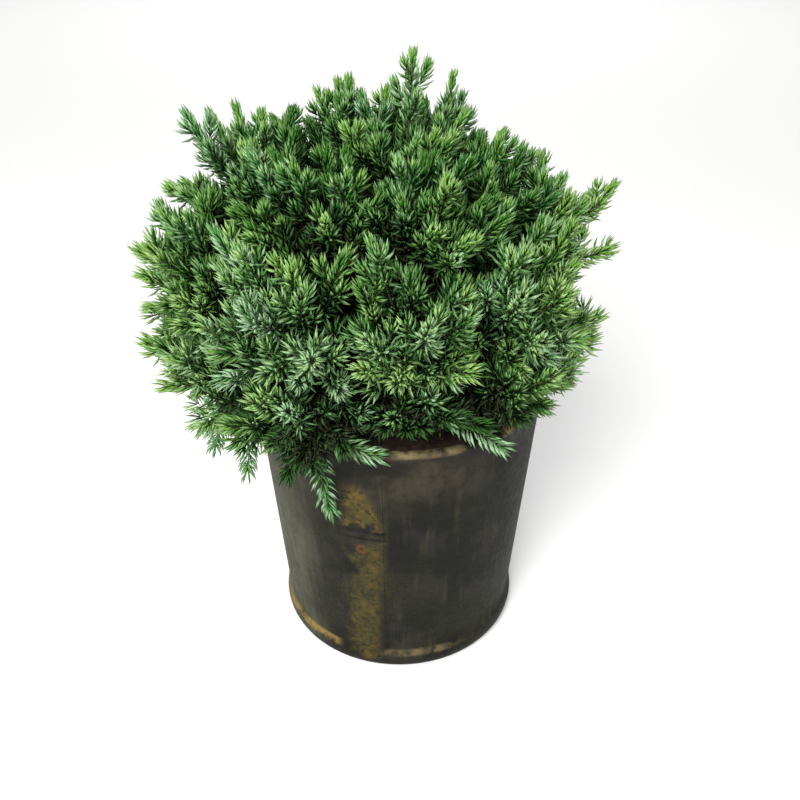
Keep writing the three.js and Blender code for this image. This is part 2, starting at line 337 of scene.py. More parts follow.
@dataclass(frozen=True)
class Pendant:
    """A branchlet that hangs over the pot's lip: where it crosses the lip, and where its tip is."""

    lip_azimuth: float
    tip_azimuth: float
    out: float
    height: float


@dataclass(frozen=True)
class Riser:
    """A branchlet that stands up out of the crown: its tip's direction from the heart, and its reach."""

    azimuth: float
    elevation: float
    reach: float


@dataclass
class Crown:
    """The rule that the crown grows by: its reach, its hem, its masses and their sprays."""

    vessel: Vessel
    heart: np.ndarray = field(default_factory=lambda: np.array((-5, 4, 172)) * MM)
    hem_reach: float = 101 * MM
    shoulder_reach: float = 150.5 * MM
    hem_elevation: float = -30
    shoulder_elevation: float = 48
    lopsided: float = 0.14
    evening: float = 0.5
    hem: float = -13
    hem_tilt: float = 14
    hem_low_side: float = -90
    seed: int = 105
    seed_stride: int = 101
    parting_azimuth: float = 9
    parting_half_width: float = 26
    parting_hem: float = 10
    parting_shorter: float = 0.16
    parting_highest: float = 40
    tiers: tuple[Tier, ...] = (
        Tier("skirt", 10, 10, 8, 0.07, 0.3, 3),
        Tier("waist", 9, 9, 35, 0.34, 0.6, 4),
        Tier("shoulder", 6, 23, 62, 0.64, 0.88, 5),
        Tier("top", 1, 90, 86, 1, 1, 1),
    )
    leaders: tuple[Leader, ...] = (
        Leader(90, 86, 22 * MM),
        Leader(-92, 54, 19 * MM),
        Leader(90, 42, 18 * MM),
        Leader(-92, 26, 5 * MM),
        Leader(-157, 62, 10 * MM),
        Leader(146, 62, 9 * MM),
    )
    pendants: tuple[Pendant, ...] = (
        Pendant(-27, -22, 90 * MM, 123 * MM),
        Pendant(-32, -2, 93 * MM, 169 * MM),
        Pendant(-37, -30, 100 * MM, 165 * MM),
        Pendant(28, 34, 99 * MM, 164 * MM),
        Pendant(-68, -76, 110 * MM, 125 * MM),
        Pendant(-50, -57, 99 * MM, 127 * MM),
    )
    risers: tuple[Riser, ...] = (
        Riser(-105, 54, 169 * MM),
        Riser(-113, 57, 165 * MM),
        Riser(-113, 62, 155 * MM),
        Riser(-117, 51, 157 * MM),
        Riser(137, 72, 162 * MM),
        Riser(-129, 71, 155 * MM),
        Riser(-148, 75, 158 * MM),
        Riser(93, 50, 143 * MM),
        Riser(96, 41, 146 * MM),
        Riser(84, 44, 143 * MM),
    )
    riser_sag: float = 6 * MM
    over_lip: float = 98 * MM
    foot_share: float = 0.4
    inner_root: float = 0.46
    outer_root: float = 0.6
    stem_end: float = 0.66
    space_share: float = 0.76
    core_corners: int = 32
    main_sprays: int = 7
    finer_sprays: int = 14
    fan: float = 27
    finer_fan: float = 31
    wobble: float = 5
    surface: Pair = (0.9, 1)
    finer_surface: Pair = (0.84, 1)
    understorey: Pair = (0.62, 0.8)
    rim_clearance: float = 14 * MM
    main_margin: float = 4 * MM
    finer_overlap: float = 6 * MM
    leader_width: float = 0.55
    thin_zone: Pair = (20, 62)
    # Painted shade: the azimuth zone, its middle and half width, where needles under the front overhang are
    # darkened.
    painted_shade_zone: Pair = (4, 58)
    shade_elevation: Pair = (4, 20)
    rising_from: float = -5
    rising_to: float = 32
    low_knee: float = 0.5
    high_knee: float = 0.66
    turns_in: int = 5
    turn_in: float = 0.15
    room_from: float = 0.1
    room_steps: int = 10
    rooted_steps: int = 3
    upturn: float = 15 * MM

    def parting_at(self, azimuth: np.ndarray) -> np.ndarray:
        """Gives how far azimuths are inside the parting, from 0 outside it to 1 in its middle half."""
        return inside_zone(azimuth, self.parting_azimuth, self.parting_half_width)

    def reach_towards(self, direction: np.ndarray) -> np.ndarray:
        """Gives how far the crown reaches from its heart.

        Args:
            direction: Unit vectors, as rows.

        Returns:
            The reach in each direction.
        """
        elevation = elevation_of(direction)
        rise = smoothstep(elevation, self.hem_elevation, self.shoulder_elevation)
        level = self.hem_reach + (self.shoulder_reach - self.hem_reach) * rise
        low = 1 - smoothstep(elevation, self.parting_hem, self.parting_highest)
        parted = 1 - self.parting_shorter * low * self.parting_at(azimuth_of(direction))
        return level * parted * (1 - self.lopsided * direction[..., 0] * (1 - self.evening * rise))

    def shade_at(self, points: np.ndarray, zone: Pair) -> np.ndarray:
        """Gives how shaded points are under the overhang in front, from 0 to 1.

        Args:
            points: The points.
            zone: The azimuth of the zone's middle, and its half width, in degrees.

        Returns:
            The shade at each point.
        """
        direction = unit(points - self.heart)
        low = 1 - smoothstep(elevation_of(direction), *self.shade_elevation)
        return low * inside_zone(azimuth_of(direction), *zone)

    def rising_at(self, direction: np.ndarray) -> float:
        """Gives how upright shoots grow in a direction from the heart: 0 at the hem, 1 higher up."""
        return float(smoothstep(elevation_of(direction), self.rising_from, self.rising_to))

    def hem_at(self, azimuth: float) -> float:
        """Gives the lowest elevation that the foliage hangs to at an azimuth."""
        hanging = self.hem - self.hem_tilt * math.cos(math.radians(azimuth - self.hem_low_side))
        return lerp(hanging, self.parting_hem, float(self.parting_at(azimuth)))

    def plan_masses(self) -> list[Mass]:
        """Places the masses.

        Returns:
            The masses, from the skirt to the top.
        """
        masses = []
        for tier in self.tiers:
            for i in range(tier.count):
                direction = towards(tier.first + 360 / tier.count * i, tier.elevation)
                place = (i * tier.stride) % tier.count
                leaves = lerp(tier.lowest, tier.highest, place / tier.count)
                draws = Draws(self.seed + self.seed_stride * len(masses))
                reach = float(self.reach_towards(direction))
                name = f"{tier.name}_{i + 1:02d}"
                masses.append(Mass(name, direction, leaves, reach, draws, UP, UP))
        for leader in self.leaders:
            direction = towards(leader.azimuth, leader.elevation)
            nearest = self.nearest(direction, masses)
            nearest.direction = direction
            nearest.reach = float(self.reach_towards(direction)) + leader.extra
        for mass in masses:
            mass.foot = self.heart + mass.direction * self.foot_share * mass.reach
            mass.space = self.heart + mass.direction * self.space_share * mass.reach
        return masses

    def nearest(self, direction: np.ndarray, masses: list[Mass]) -> Mass:
        """Gives the mass whose line is nearest to a direction from the heart."""
        return max(masses, key=lambda mass: float(dot(mass.direction, direction)))

    def on_line(self, mass: Mass, share: float) -> np.ndarray:
        """Gives the point at a share of a mass's reach, on its line from the heart."""
        return self.heart + mass.direction * mass.reach * share

    def is_in_space(self, points: np.ndarray, mass: Mass, masses: list[Mass], margin: float) -> bool:
        """Tells whether points are nearer to a mass's own middle than to any other mass's.

        Args:
            points: Points, as rows.
            mass: The mass.
            masses: All masses.
            margin: How far inside the border the points have to be.

        Returns:
            Whether all points are.
        """
        for other in masses:
            if other is mass:
                continue
            middle = (mass.space + other.space) / 2
            if np.any(dot(points - middle, unit(other.space - mass.space)) >= -margin):
                return False
        return True

    def spray_towards(
        self, mass: Mass, direction: np.ndarray, spread: float, depth: float, rising: float
    ) -> Bezier:
        """Bends a spray from the mass's stem to a tip. One that hangs rises clear of the rim first.

        Args:
            mass: The mass that bears it.
            direction: The tip's direction from the heart.
            spread: 0 on the mass's line, 1 at the edge of its fan.
            depth: The tip's distance from the heart.
            rising: How upright its end is, from 0, as in the solids, to 1.

        Returns:
            The spray's line.
        """
        root = self.on_line(mass, lerp(self.outer_root, self.inner_root, spread))
        tip = self.heart + direction * depth
        between = unit(mass.direction + direction)
        place = lerp(self.low_knee, self.high_knee, rising)
        knee = self.heart + between * lerp(float(np.linalg.norm(root - self.heart)), depth, place)
        knee = knee - UP * self.upturn * rising
        rim_clear = self.vessel.height + self.rim_clearance
        if tip[2] < rim_clear:
            knee[2] = max(knee[2], rim_clear)
        return Bezier(root, knee, tip)

    def sprays_of(self, mass: Mass, masses: list[Mass]) -> list[Spray]:
        """Fans a mass's sprays out to the crown's surface by the golden angle.

        The first ones are those of the solids, and the same draws go on to the finer ones. A spray that
        would leave the mass's space or touch the pot is turned in, and then left out.

        Args:
            mass: The mass.
            masses: All masses.

        Returns:
            The sprays that have room.
        """
        for _ in range(self.core_corners):
            mass.draws.next()
        turn = turn_up_to(mass.direction)
        first = mass.draws.next() * 360
        extra = mass.reach - float(self.reach_towards(mass.direction))
        sprays = []
        for k in range(self.main_sprays + self.finer_sprays):
            is_main = k < self.main_sprays
            if is_main:
                spread = math.sqrt(k / (self.main_sprays - 1))
                off = self.fan * spread
            else:
                spread = math.sqrt((k - self.main_sprays + 0.5) / self.finer_sprays)
                off = self.finer_fan * spread
            off += (mass.draws.next() - 0.5) * self.wobble if k > 0 else 0
            around = math.radians(first) + GOLDEN_ANGLE * k
            if is_main:
                layer = self.surface
            else:
                layer = self.finer_surface if k % 2 == 0 else self.understorey
            share = lerp(*layer, mass.draws.next()) if k > 0 else 1
            mass.draws.next()
            outer = fanned(turn, around, math.radians(off))
            for inward in np.arange(self.turns_in) * self.turn_in:
                direction = unit(outer * (1 - inward) + mass.direction * inward)
                azimuth = float(azimuth_of(direction))
                direction = towards(azimuth, max(float(elevation_of(direction)), self.hem_at(azimuth)))
                depth = float(self.reach_towards(direction)) * share if k > 0 else mass.reach
                if not is_main:
                    depth += extra * max(0, 1 - spread / self.leader_width)
                rising = self.rising_at(direction)
                curve = self.spray_towards(mass, direction, spread, depth, 0 if is_main else rising)
                if self.has_room(curve, mass, masses, is_main):
                    curve = self.spray_towards(mass, direction, spread, depth, rising)
                    sprays.append(Spray(curve, depth, is_main))
                    break
        return sprays

    def pendant_line(self, pendant: Pendant, masses: list[Mass]) -> Bezier:
        """Gives a hanging branchlet's line, from the nearest mass over the lip.

        Args:
            pendant: The branchlet.
            masses: All masses.

        Returns:
            Its line.
        """
        out = towards(pendant.lip_azimuth, 0)
        root = self.on_line(self.nearest(out, masses), self.outer_root)
        lip = out * self.over_lip + UP * (self.vessel.height + self.rim_clearance)
        return Bezier(root, lip, towards(pendant.tip_azimuth, 0) * pendant.out + UP * pendant.height)

    def riser_line(self, riser: Riser, masses: list[Mass]) -> Bezier:
        """Gives an upright branchlet's line, from the nearest mass.

        Args:
            riser: The branchlet.
            masses: All masses.

        Returns:
            Its line.
        """
        out = towards(riser.azimuth, riser.elevation)
        root = self.on_line(self.nearest(out, masses), self.outer_root)
        tip = self.heart + out * riser.reach
        return Bezier(root, (root + tip) / 2 - UP * self.riser_sag, tip)

    def has_room(self, curve: Bezier, mass: Mass, masses: list[Mass], is_main: bool) -> bool:
        """Tells whether a spray stays in its mass's space and off the pot.

        Args:
            curve: The spray's line.
            mass: The mass that bears it.
            masses: All masses.
            is_main: Whether it is one of the solids' sprays, which are thicker.

        Returns:
            Whether it does.
        """
        points = curve.at(np.linspace(self.room_from, 1, self.room_steps))
        margin = self.main_margin if is_main else -self.finer_overlap
        clear = bool(np.all(self.vessel.is_clear(points, self.vessel.clearance)))
        return clear and self.is_in_space(points[self.rooted_steps :], mass, masses, margin)


@dataclass(frozen=True)
class NeedleTint:
    """The plain colours of one kind of needle: its keeled outer faces and its paler inner face."""

    outer: Colour
    inner: Colour
    gloss: float = 0.32


class Tint(Enum):
    """The kinds of needle, by age and painted shade, and by hue."""

    LIME_TIP = NeedleTint((0.105, 0.25, 0.024), (0.25, 0.405, 0.13))
    GREEN_TIP = NeedleTint((0.063, 0.20, 0.025), (0.24, 0.39, 0.19))
    BLUE_TIP = NeedleTint((0.05, 0.18, 0.036), (0.268, 0.41, 0.245))
    LIME_LEAF = NeedleTint((0.024, 0.115, 0.006), (0.125, 0.245, 0.062), 0.25)
    GREEN_LEAF = NeedleTint((0.013, 0.092, 0.005), (0.115, 0.24, 0.08), 0.25)
    BLUE_LEAF = NeedleTint((0.011, 0.080, 0.010), (0.142, 0.26, 0.112), 0.25)
    # Near-black painted shade for needles deep in the crown and under the front overhang, and the colour of
    # old and dead needles.
    DEEP_SHADED_GREEN = NeedleTint((0.002, 0.024, 0.001), (0.035, 0.095, 0.021), 0.1)
    DEEP_SHADED_BLUE = NeedleTint((0.002, 0.022, 0.002), (0.045, 0.105, 0.037), 0.1)
    SPENT_AND_SHADED = NeedleTint((0.002, 0.009, 0.001), (0.028, 0.036, 0.017), 0.05)


HUES = (
    (Tint.LIME_TIP, Tint.LIME_LEAF, Tint.DEEP_SHADED_GREEN, Tint.SPENT_AND_SHADED),
    (Tint.GREEN_TIP, Tint.GREEN_LEAF, Tint.DEEP_SHADED_GREEN, Tint.SPENT_AND_SHADED),
    (Tint.BLUE_TIP, Tint.BLUE_LEAF, Tint.DEEP_SHADED_BLUE, Tint.SPENT_AND_SHADED),
)


class Shader:
    """Builds one procedural material, node by node."""

    def __init__(self, name: str, colour: Colour, roughness: float) -> None:
        """Starts a plain material.

        Args:
            name: The material's name.
            colour: Its base colour.
            roughness: Its roughness.
        """
        self.material = bpy.data.materials.new(name)
        self.material.use_nodes = True
        self.nodes = self.material.node_tree.nodes
        self.links = self.material.node_tree.links
        self.surface = next(n for n in self.nodes if n.type == "BSDF_PRINCIPLED")
        self.surface.inputs["Base Color"].default_value = (*colour, 1)
        self.surface.inputs["Roughness"].default_value = roughness
        self.place = self.nodes.new("ShaderNodeTexCoord").outputs["Object"]

    def node(self, kind: str, inputs: dict, **settings: object) -> bpy.types.Node:
        """Adds a node.

        Args:
            kind: Blender's name for the node, after ShaderNode.
            inputs: A value or an output for each input that is set.
            settings: The node's own settings.

        Returns:
            The node.
        """
        made = self.nodes.new("ShaderNode" + kind)
        for key, value in settings.items():
            setattr(made, key, value)
        for key, value in inputs.items():
            if isinstance(value, bpy.types.NodeSocket):
                self.links.new(value, made.inputs[key])
            else:
                made.inputs[key].default_value = value
        return made

    def math(self, operation: str, a: object, b: object = 0.0) -> bpy.types.NodeSocket:
        """Works out a number from one or two others."""
        return self.node("Math", {0: a, 1: b}, operation=operation).outputs[0]

    def times(self, *factors: object) -> bpy.types.NodeSocket:
        """Multiplies several numbers.

        Args:
            factors: The numbers or outputs.

        Returns:
            Their product.
        """
        product = factors[0]
        for factor in factors[1:]:
            product = self.math("MULTIPLY", product, factor)
        return product

    def stray(self, pattern: object, amount: float) -> bpy.types.NodeSocket:
        """Gives a pattern as a wander to both sides of 0, as wide as an amount."""
        return self.times(self.math("SUBTRACT", pattern, 0.5), amount)

    def split(self) -> list[bpy.types.NodeSocket]:
        """Gives the three coordinates of a point."""
        return list(self.node("SeparateXYZ", {0: self.place}).outputs)

    def ease(self, value: object, low: float, high: float) -> bpy.types.NodeSocket:
        """Eases from 0 where a value is low to 1 where it is high."""
        limits = {"Value": value, "From Min": low, "From Max": high}
        return self.node("MapRange", limits, interpolation_type="SMOOTHSTEP").outputs[0]

    def band(self, value: object, low: float, high: float, soft: float) -> bpy.types.NodeSocket:
        """Gives 1 where a value is between two others, with soft ends.

        Args:
            value: The value.
            low: The lower limit.
            high: The upper limit.
            soft: How far the ends fade to both sides of the limits.

        Returns:
            A number from 0 to 1.
        """
        rises = self.ease(value, low - soft, low + soft)
        falls = self.ease(value, high + soft, high - soft)
        return self.math("MULTIPLY", rises, falls)

    def noise(self, scale: float, detail: float = 3, at: object = None) -> bpy.types.NodeSocket:
        """Gives a soft random pattern, from 0 to 1."""
        inputs = {"Vector": at or self.place, "Scale": scale, "Detail": detail}
        return self.node("TexNoise", inputs).outputs["Fac"]

    def mix(self, share: object, a: object, b: object) -> bpy.types.NodeSocket:
        """Mixes two colours.

        Args:
            share: The second one's share.
            a: The first colour.
            b: The second colour.

        Returns:
            The mixed colour.
        """
        pair = [(*c, 1) if isinstance(c, tuple) else c for c in (a, b)]
        made = self.node("Mix", {"Factor": share}, data_type="RGBA")
        for socket, value in zip((made.inputs[6], made.inputs[7]), pair):
            if isinstance(value, bpy.types.NodeSocket):
                self.links.new(value, socket)
            else:
                socket.default_value = value
        return made.outputs[2]

    def bump(self, height: object, distance: float, strength: float = 1.0) -> None:
        """Raises the surface by a pattern.

        Args:
            height: The pattern.
            distance: Its height in metres.
            strength: How much of it shows.
        """
        inputs = {"Height": height, "Distance": distance, "Strength": strength}
        made = self.node("Bump", inputs)
        self.links.new(made.outputs[0], self.surface.inputs["Normal"])

    def paint(self, colour: bpy.types.NodeSocket, roughness: object = None) -> None:
        """Gives the surface its patterns.

        Args:
            colour: The colour pattern.
            roughness: The roughness pattern, if there is one.
        """
        self.links.new(colour, self.surface.inputs["Base Color"])
        if roughness is not None:
            self.links.new(roughness, self.surface.inputs["Roughness"])


def put_in_scene(name: str, data: bpy.types.ID) -> bpy.types.Object:
    """Makes an object at the origin and puts it in the scene.

    Args:
        name: The object's name.
        data: Its mesh, camera or light.

    Returns:
        The object.
    """
    made = bpy.data.objects.new(name, data)
    bpy.context.scene.collection.objects.link(made)
    return made


def finished(body: bmesh.types.BMesh, name: str) -> bpy.types.Mesh:
    """Turns a body into a mesh, and frees it.

    Args:
        body: The body.
        name: The mesh's name.

    Returns:
        The mesh.
    """
    mesh = bpy.data.meshes.new(name)
    body.to_mesh(mesh)
    body.free()
    return mesh


def spun(profile: list[Pair], steps: int, phase: float = 0) -> bmesh.types.BMesh:
    """Spins a section round the upright axis.

    Args:
        profile: Radius and height of each corner, from the axis round to the axis.
        steps: The number of steps in a whole turn.
        phase: Where the spin starts, in radians.

    Returns:
        The closed body.
    """
    body = bmesh.new()
    verts = [body.verts.new((r, 0, z)) for r, z in profile]
    edges = [body.edges.new(pair) for pair in zip(verts[:-1], verts[1:])]
    bmesh.ops.rotate(body, verts=verts, cent=(0, 0, 0), matrix=Matrix.Rotation(phase, 3, "Z"))
    bmesh.ops.spin(body, geom=verts + edges, cent=(0, 0, 0), axis=(0, 0, 1), dvec=(0, 0, 0),
                   angle=2 * math.pi, steps=steps, use_merge=True, use_duplicate=False)
    bmesh.ops.remove_doubles(body, verts=body.verts, dist=MERGED)
    bmesh.ops.recalc_face_normals(body, faces=body.faces)
    return body


def add_piece(name: str, mesh: bpy.types.Mesh, replaced: list[str]) -> bpy.types.Object:
    """Puts a finished mesh in the scene as a piece of the plant.

    Args:
        name: The piece's name.
        mesh: Its mesh, in place and with its materials.
        replaced: The nodes that it stands for.

    Returns:
        The piece.
    """
    piece = put_in_scene(name, mesh)
    if replaced:
        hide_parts(*replaced)
    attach(piece, "root")
    LOG.info("%s: %d faces", name, len(mesh.polygons))
    return piece


def mesh_from_arrays(
    name: str, points: np.ndarray, faces: np.ndarray, kinds: np.ndarray | None = None
) -> bpy.types.Mesh:
    """Joins many small things in one mesh of triangles.

    Args:
        name: The mesh's name.
        points: The corners, as rows.
        faces: Three corner numbers a face, as rows.
        kinds: The number of each face's material.

    Returns:
        The mesh.
    """
    mesh = bpy.data.meshes.new(name)
    mesh.vertices.add(len(points))
    mesh.vertices.foreach_set("co", points.astype(np.float32).ravel())
    mesh.loops.add(faces.size)
    mesh.loops.foreach_set("vertex_index", faces.astype(np.int32).ravel())
    mesh.polygons.add(len(faces))
    mesh.polygons.foreach_set("loop_start", np.arange(0, faces.size, 3, dtype=np.int32))
    if kinds is not None:
        mesh.polygons.foreach_set("material_index", kinds.astype(np.int32))
    mesh.update(calc_edges=True)
    return mesh


def tubes(lines: np.ndarray, radii: np.ndarray, sides: int) -> tuple[np.ndarray, np.ndarray]:
    """Draws tapering twigs along lines, each closed by a point at both ends.

    Args:
        lines: The points of each line: lines, steps and coordinates.
        radii: The radius at each line's inner steps: lines and steps less two.
        sides: The number of sides.

    Returns:
        Corners and faces.
    """
    count, steps = lines.shape[:2]
    headings = unit(np.gradient(lines, axis=1))
    least = np.eye(3)[np.argmin(np.abs(headings[:, steps // 2]), axis=1)][:, None]
    side = unit(least - headings * dot(least, headings)[..., None])
    other = np.cross(headings, side)
    turns = np.arange(sides) * 2 * math.pi / sides
    inner = slice(1, steps - 1)
    around = (
        side[:, inner, None] * np.cos(turns)[:, None] + other[:, inner, None] * np.sin(turns)[:, None])
    rings = lines[:, inner, None] + around * radii[:, :, None, None]
    ring_corners = (steps - 2) * sides
    corners = np.concatenate((rings.reshape(count, ring_corners, 3), lines[:, :1], lines[:, -1:]), axis=1)
    faces = []
    for turn in range(sides):
        after = (turn + 1) % sides
        faces.append((ring_corners, after, turn))
        for ring in range(steps - 3):
            a, b = ring * sides + turn, ring * sides + after
            faces += [(a, b, b + sides), (a, b + sides, a + sides)]
        last = ring_corners - sides
        faces.append((last + turn, last + after, ring_corners + 1))
    offsets = np.arange(count)[:, None, None] * (ring_corners + 2)
    return corners.reshape(-1, 3), (np.array(faces)[None] + offsets).reshape(-1, 3)


@dataclass(frozen=True)
class Habit:
    """How the needles stand on a shoot: their angle from it at its root and tip, and their length."""

    open_root: float
    open_tip: float
    needle: float


class ShootKind(Enum):
    """The kinds of shoot."""

    LEADER = Habit(60, 16, 9.4 * MM)
    SIDE = Habit(56, 16, 8.9 * MM)
    INNER = Habit(72, 40, 8.5 * MM)


@dataclass
class Shoots:
    """Shoots with their needles, gathered first and then made into meshes by tint."""

    crown: Crown
    seed: int = 41
    low_pitch: float = 1.9 * MM
    high_pitch: float = 1.6 * MM
    closing: Pair = (0.2, 0.3)
    low_loose: float = 1.05
    high_loose: float = 0.8
    low_spread: float = 1.5
    low_longer: float = 1.12
    crowding: float = 1.4
    low_shorter: float = 0.15
    high_shorter: float = 0.32
    low_width: float = 1.05 * MM
    high_width: float = 1.3 * MM
    bow: float = 0.12
    widest: float = 0.55
    base_width: float = 0.55
    stem_radius: float = 0.5 * MM
    # How much older and darker needles look for each millimetre under the crown's surface: partly real
    # ageing, partly painted shade.
    depth_age_and_shade: float = 0.8
    # Painted shade: how much darker needles look under the front overhang.
    shading: float = 34
    low_age: float = -5
    high_age: float = -1
    young_from: float = 0.75
    old_to: float = 0.45
    drifting: float = 0.42
    piece_needles: int = 33000
    pot_gap: float = 0.8 * MM
    whorl_needles: int = 3
    least_whorls: int = 3
    pitch_vary: Pair = (0.88, 1.1)
    whorl_middle: float = 0.6
    whorl_stray: float = 0.25
    first_share: float = 0.02
    twist: float = 0.12
    around_spread: float = 0.17
    loose_vary: Pair = (0.88, 1.12)
    opening_power: float = 1.3
    opening_spread: float = 5
    shorter_power: int = 3
    length_vary: Pair = (0.88, 1.12)
    base_out: float = 0.3
    width_vary: Pair = (0.85, 1.15)
    root_older: float = 18
    needle_age_spread: float = 2.5
    shoot_age_spread: float = 4
    # Limits of age and painted shade where needles turn from tip to leaf, deep and spent tints.
    age_and_shade_steps: tuple[float, ...] = (13, 29, 45)
    stem_steps: tuple[float, ...] = (0, 0.05, 0.6, 1)
    stem_taper: float = 0.7
    stem_sides: int = 3
    lines: list = field(default_factory=list)
    habits: list = field(default_factory=list)
    hues: list = field(default_factory=list)
    ages: list = field(default_factory=list)

    def add(self, line: np.ndarray, kind: ShootKind, hue: int, age: float = 0) -> None:
        """Adds a shoot.

        Args:
            line: Root, bend and tip of its axis.
            kind: Its kind.
            hue: The number of its row in the hues.
            age: How much older it looks than others, before its needles' painted shade is added.
        """
        self.lines.append(line)
        self.ages.append(age)
        habit = kind.value
        self.habits.append((habit.open_root, habit.open_tip, habit.needle))
        self.hues.append(hue)

    def needles(self) -> tuple[np.ndarray, np.ndarray]:
        """Sets whorls of needles along every shoot.

        Returns:
            The five corners of each needle, and the number of its tint.
        """
        random = np.random.default_rng(self.seed)
        lines, habits = np.array(self.lines), np.array(self.habits)
        lengths = np.linalg.norm(lines[:, 2] - lines[:, 0], axis=1)
        high = smoothstep(lines[:, 2, 2], *self.closing)
        pitch = lerp(self.low_pitch, self.high_pitch, high) * random.uniform(*self.pitch_vary, len(lines))
        whorls = np.maximum(np.round(lengths / pitch).astype(int), self.least_whorls)
        borne = whorls * self.whorl_needles
        shoot = np.repeat(np.arange(len(lines)), borne)
        place = np.arange(len(shoot)) - np.repeat(np.cumsum(borne) - borne, borne)
        whorl, turn = place // self.whorl_needles, place % self.whorl_needles
        count = len(shoot)
        stray = random.uniform(-self.whorl_stray, self.whorl_stray, count)
        share = (whorl + self.whorl_middle + stray) / whorls[shoot]
        share = 1 - (1 - np.clip(share, self.first_share, 1)) ** self.crowding
        t = share[:, None]
        root, bend, tip = (lines[shoot, i] for i in range(3))
        base = bend_at(root, bend, tip, t)
        forward = unit((bend - root) * (1 - t) + (tip - bend) * t)
        least = np.eye(3)[np.argmin(np.abs(tip - root), axis=1)]
        side = unit(least - forward * dot(least, forward)[:, None])
        other = np.cross(forward, side)
        start = random.uniform(0, 2 * math.pi, len(lines))[shoot]
        around = start + turn * 2 * math.pi / self.whorl_needles
        around = around + whorl * (math.pi / self.whorl_needles + self.twist)
        around += random.normal(0, self.around_spread, count)
        outward = side * np.cos(around)[:, None] + other * np.sin(around)[:, None]
        loose = random.uniform(*self.loose_vary, len(lines))
        at_root = (habits[:, 0] * lerp(self.low_loose, self.high_loose, high) * loose)[shoot]
        at_tip = (habits[:, 1] * lerp(self.low_spread, self.high_loose, high) * loose)[shoot]
        opening = at_root + (at_tip - at_root) * share ** self.opening_power
        opening = np.radians(opening + random.normal(0, self.opening_spread, count))
        sine, cosine = np.sin(opening)[:, None], np.cos(opening)[:, None]
        along = forward * cosine + outward * sine
        inner = forward * sine - outward * cosine
        across = np.cross(forward, outward)
        shorter = lerp(self.low_shorter, self.high_shorter, high)[shoot] * share ** self.shorter_power
        longer = lerp(self.low_longer, 1, high)[shoot]
        length = habits[shoot, 2] * longer * (1 - shorter) * random.uniform(*self.length_vary, count)
        length = length[:, None]
        base = base + outward * self.base_out * MM
        middle = base + along * length * self.widest - inner * length * self.bow
        point = base + along * length
        width = lerp(self.low_width, self.high_width, high)[shoot] * random.uniform(*self.width_vary, count)
        half = across * (width / 2)[:, None]
        heel = half * self.base_width
        corners = np.stack((base + heel, base - heel, middle + half, middle - half, point), axis=1)
        clear = np.all(self.crown.vessel.is_clear(corners[:, 2:], self.pot_gap), axis=1)
        # Age and painted shade: needles look older down the shoot, and darker with depth under the crown's
        # surface and under the front overhang.
        under = self.depth_of(middle)
        age = self.depth_age_and_shade * under / MM + self.root_older * (1 - share)
        age += random.normal(0, self.needle_age_spread, count)
        age += (np.array(self.ages) + random.normal(0, self.shoot_age_spread, len(lines)))[shoot]
        shade = self.shading * self.crown.shade_at(base, self.crown.painted_shade_zone)
        age += shade + lerp(self.low_age, self.high_age, high)[shoot]
        tints = self.tints_of(age, share, np.array(self.hues)[shoot], random)
        return corners[clear], tints[clear]

    def depth_of(self, points: np.ndarray) -> np.ndarray:
        """Gives how far points are under the crown's surface.

        Args:
            points: The points, as rows.

        Returns:
            The depth of each, along its line from the heart.
        """
        from_heart = points - self.crown.heart
        far = np.linalg.norm(from_heart, axis=1)
        return self.crown.reach_towards(from_heart / far[:, None]) - far

    def tints_of(
        self, age: np.ndarray, share: np.ndarray, hue: np.ndarray, random: np.random.Generator
    ) -> np.ndarray:
        """Chooses needles' tints. Some drift to lime near a shoot's tip, or to blue near its root.

        Args:
            age: How old each needle looks, with painted shade for its depth in the crown and under the front
                overhang.
            share: Its place along its shoot.
            hue: The number of its shoot's row in the hues.
            random: The source of random numbers.

        Returns:
            The number of each needle's tint.
        """
        drift = random.random(len(age))
        hue = hue - ((share > self.young_from) & (drift < self.drifting))
        hue += (share < self.old_to) & (drift > 1 - self.drifting)
        numbers = np.array([[list(Tint).index(tint) for tint in row] for row in HUES])
        return numbers[np.clip(hue, 0, len(HUES) - 1), np.digitize(age, self.age_and_shade_steps)]

    def make(self, replaced: list[str]) -> None:
        """Makes the needles, a piece or two to a tint, and the shoots' own stems.

        Args:
            replaced: The foliage nodes that the needles stand for.
        """
        corners, tints = self.needles()
        LOG.info("%d shoots, %d needles", len(self.lines), len(corners))
        pattern = np.array(((0, 2, 1), (1, 2, 3), (3, 2, 4), (1, 4, 0), (0, 4, 2), (1, 3, 4)))
        for number, tint in enumerate(Tint):
            chosen = corners[tints == number]
            parts = max(1, math.ceil(len(chosen) / self.piece_needles))
            for part, some in enumerate(np.array_split(chosen, parts)):
                name = f"needles_{tint.name.lower()}" + (f"_{part + 1}" if parts > 1 else "")
                offsets = np.arange(len(some))[:, None, None] * 5
                faces = (pattern[None] + offsets).reshape(-1, 3)
                kinds = np.tile((0, 0, 0, 1, 1, 1), len(some))
                mesh = mesh_from_arrays(name, some.reshape(-1, 3), faces, kinds)
                for side, colour in (("outer", tint.value.outer), ("inner", tint.value.inner)):
                    mesh.materials.append(needle_finish(f"{tint.name.lower()}_{side}", colour, tint.value))
                add_piece(name, mesh, replaced)
        self.make_stems()

    def make_stems(self) -> None:
        """Makes the shoots' own stems."""
        lines = np.array(self.lines)
        t = np.array(self.stem_steps)[None, :, None]
        along = bend_at(*(lines[:, i : i + 1] for i in range(3)), t)
        radii = np.tile((self.stem_radius, self.stem_radius * self.stem_taper), (len(lines), 1))
        mesh = mesh_from_arrays("shoot_stems", *tubes(along, radii, self.stem_sides))
        mesh.materials.append(Shader("young_bark", (0.05, 0.10, 0.02), 0.6).material)
        add_piece("shoot_stems", mesh, [])


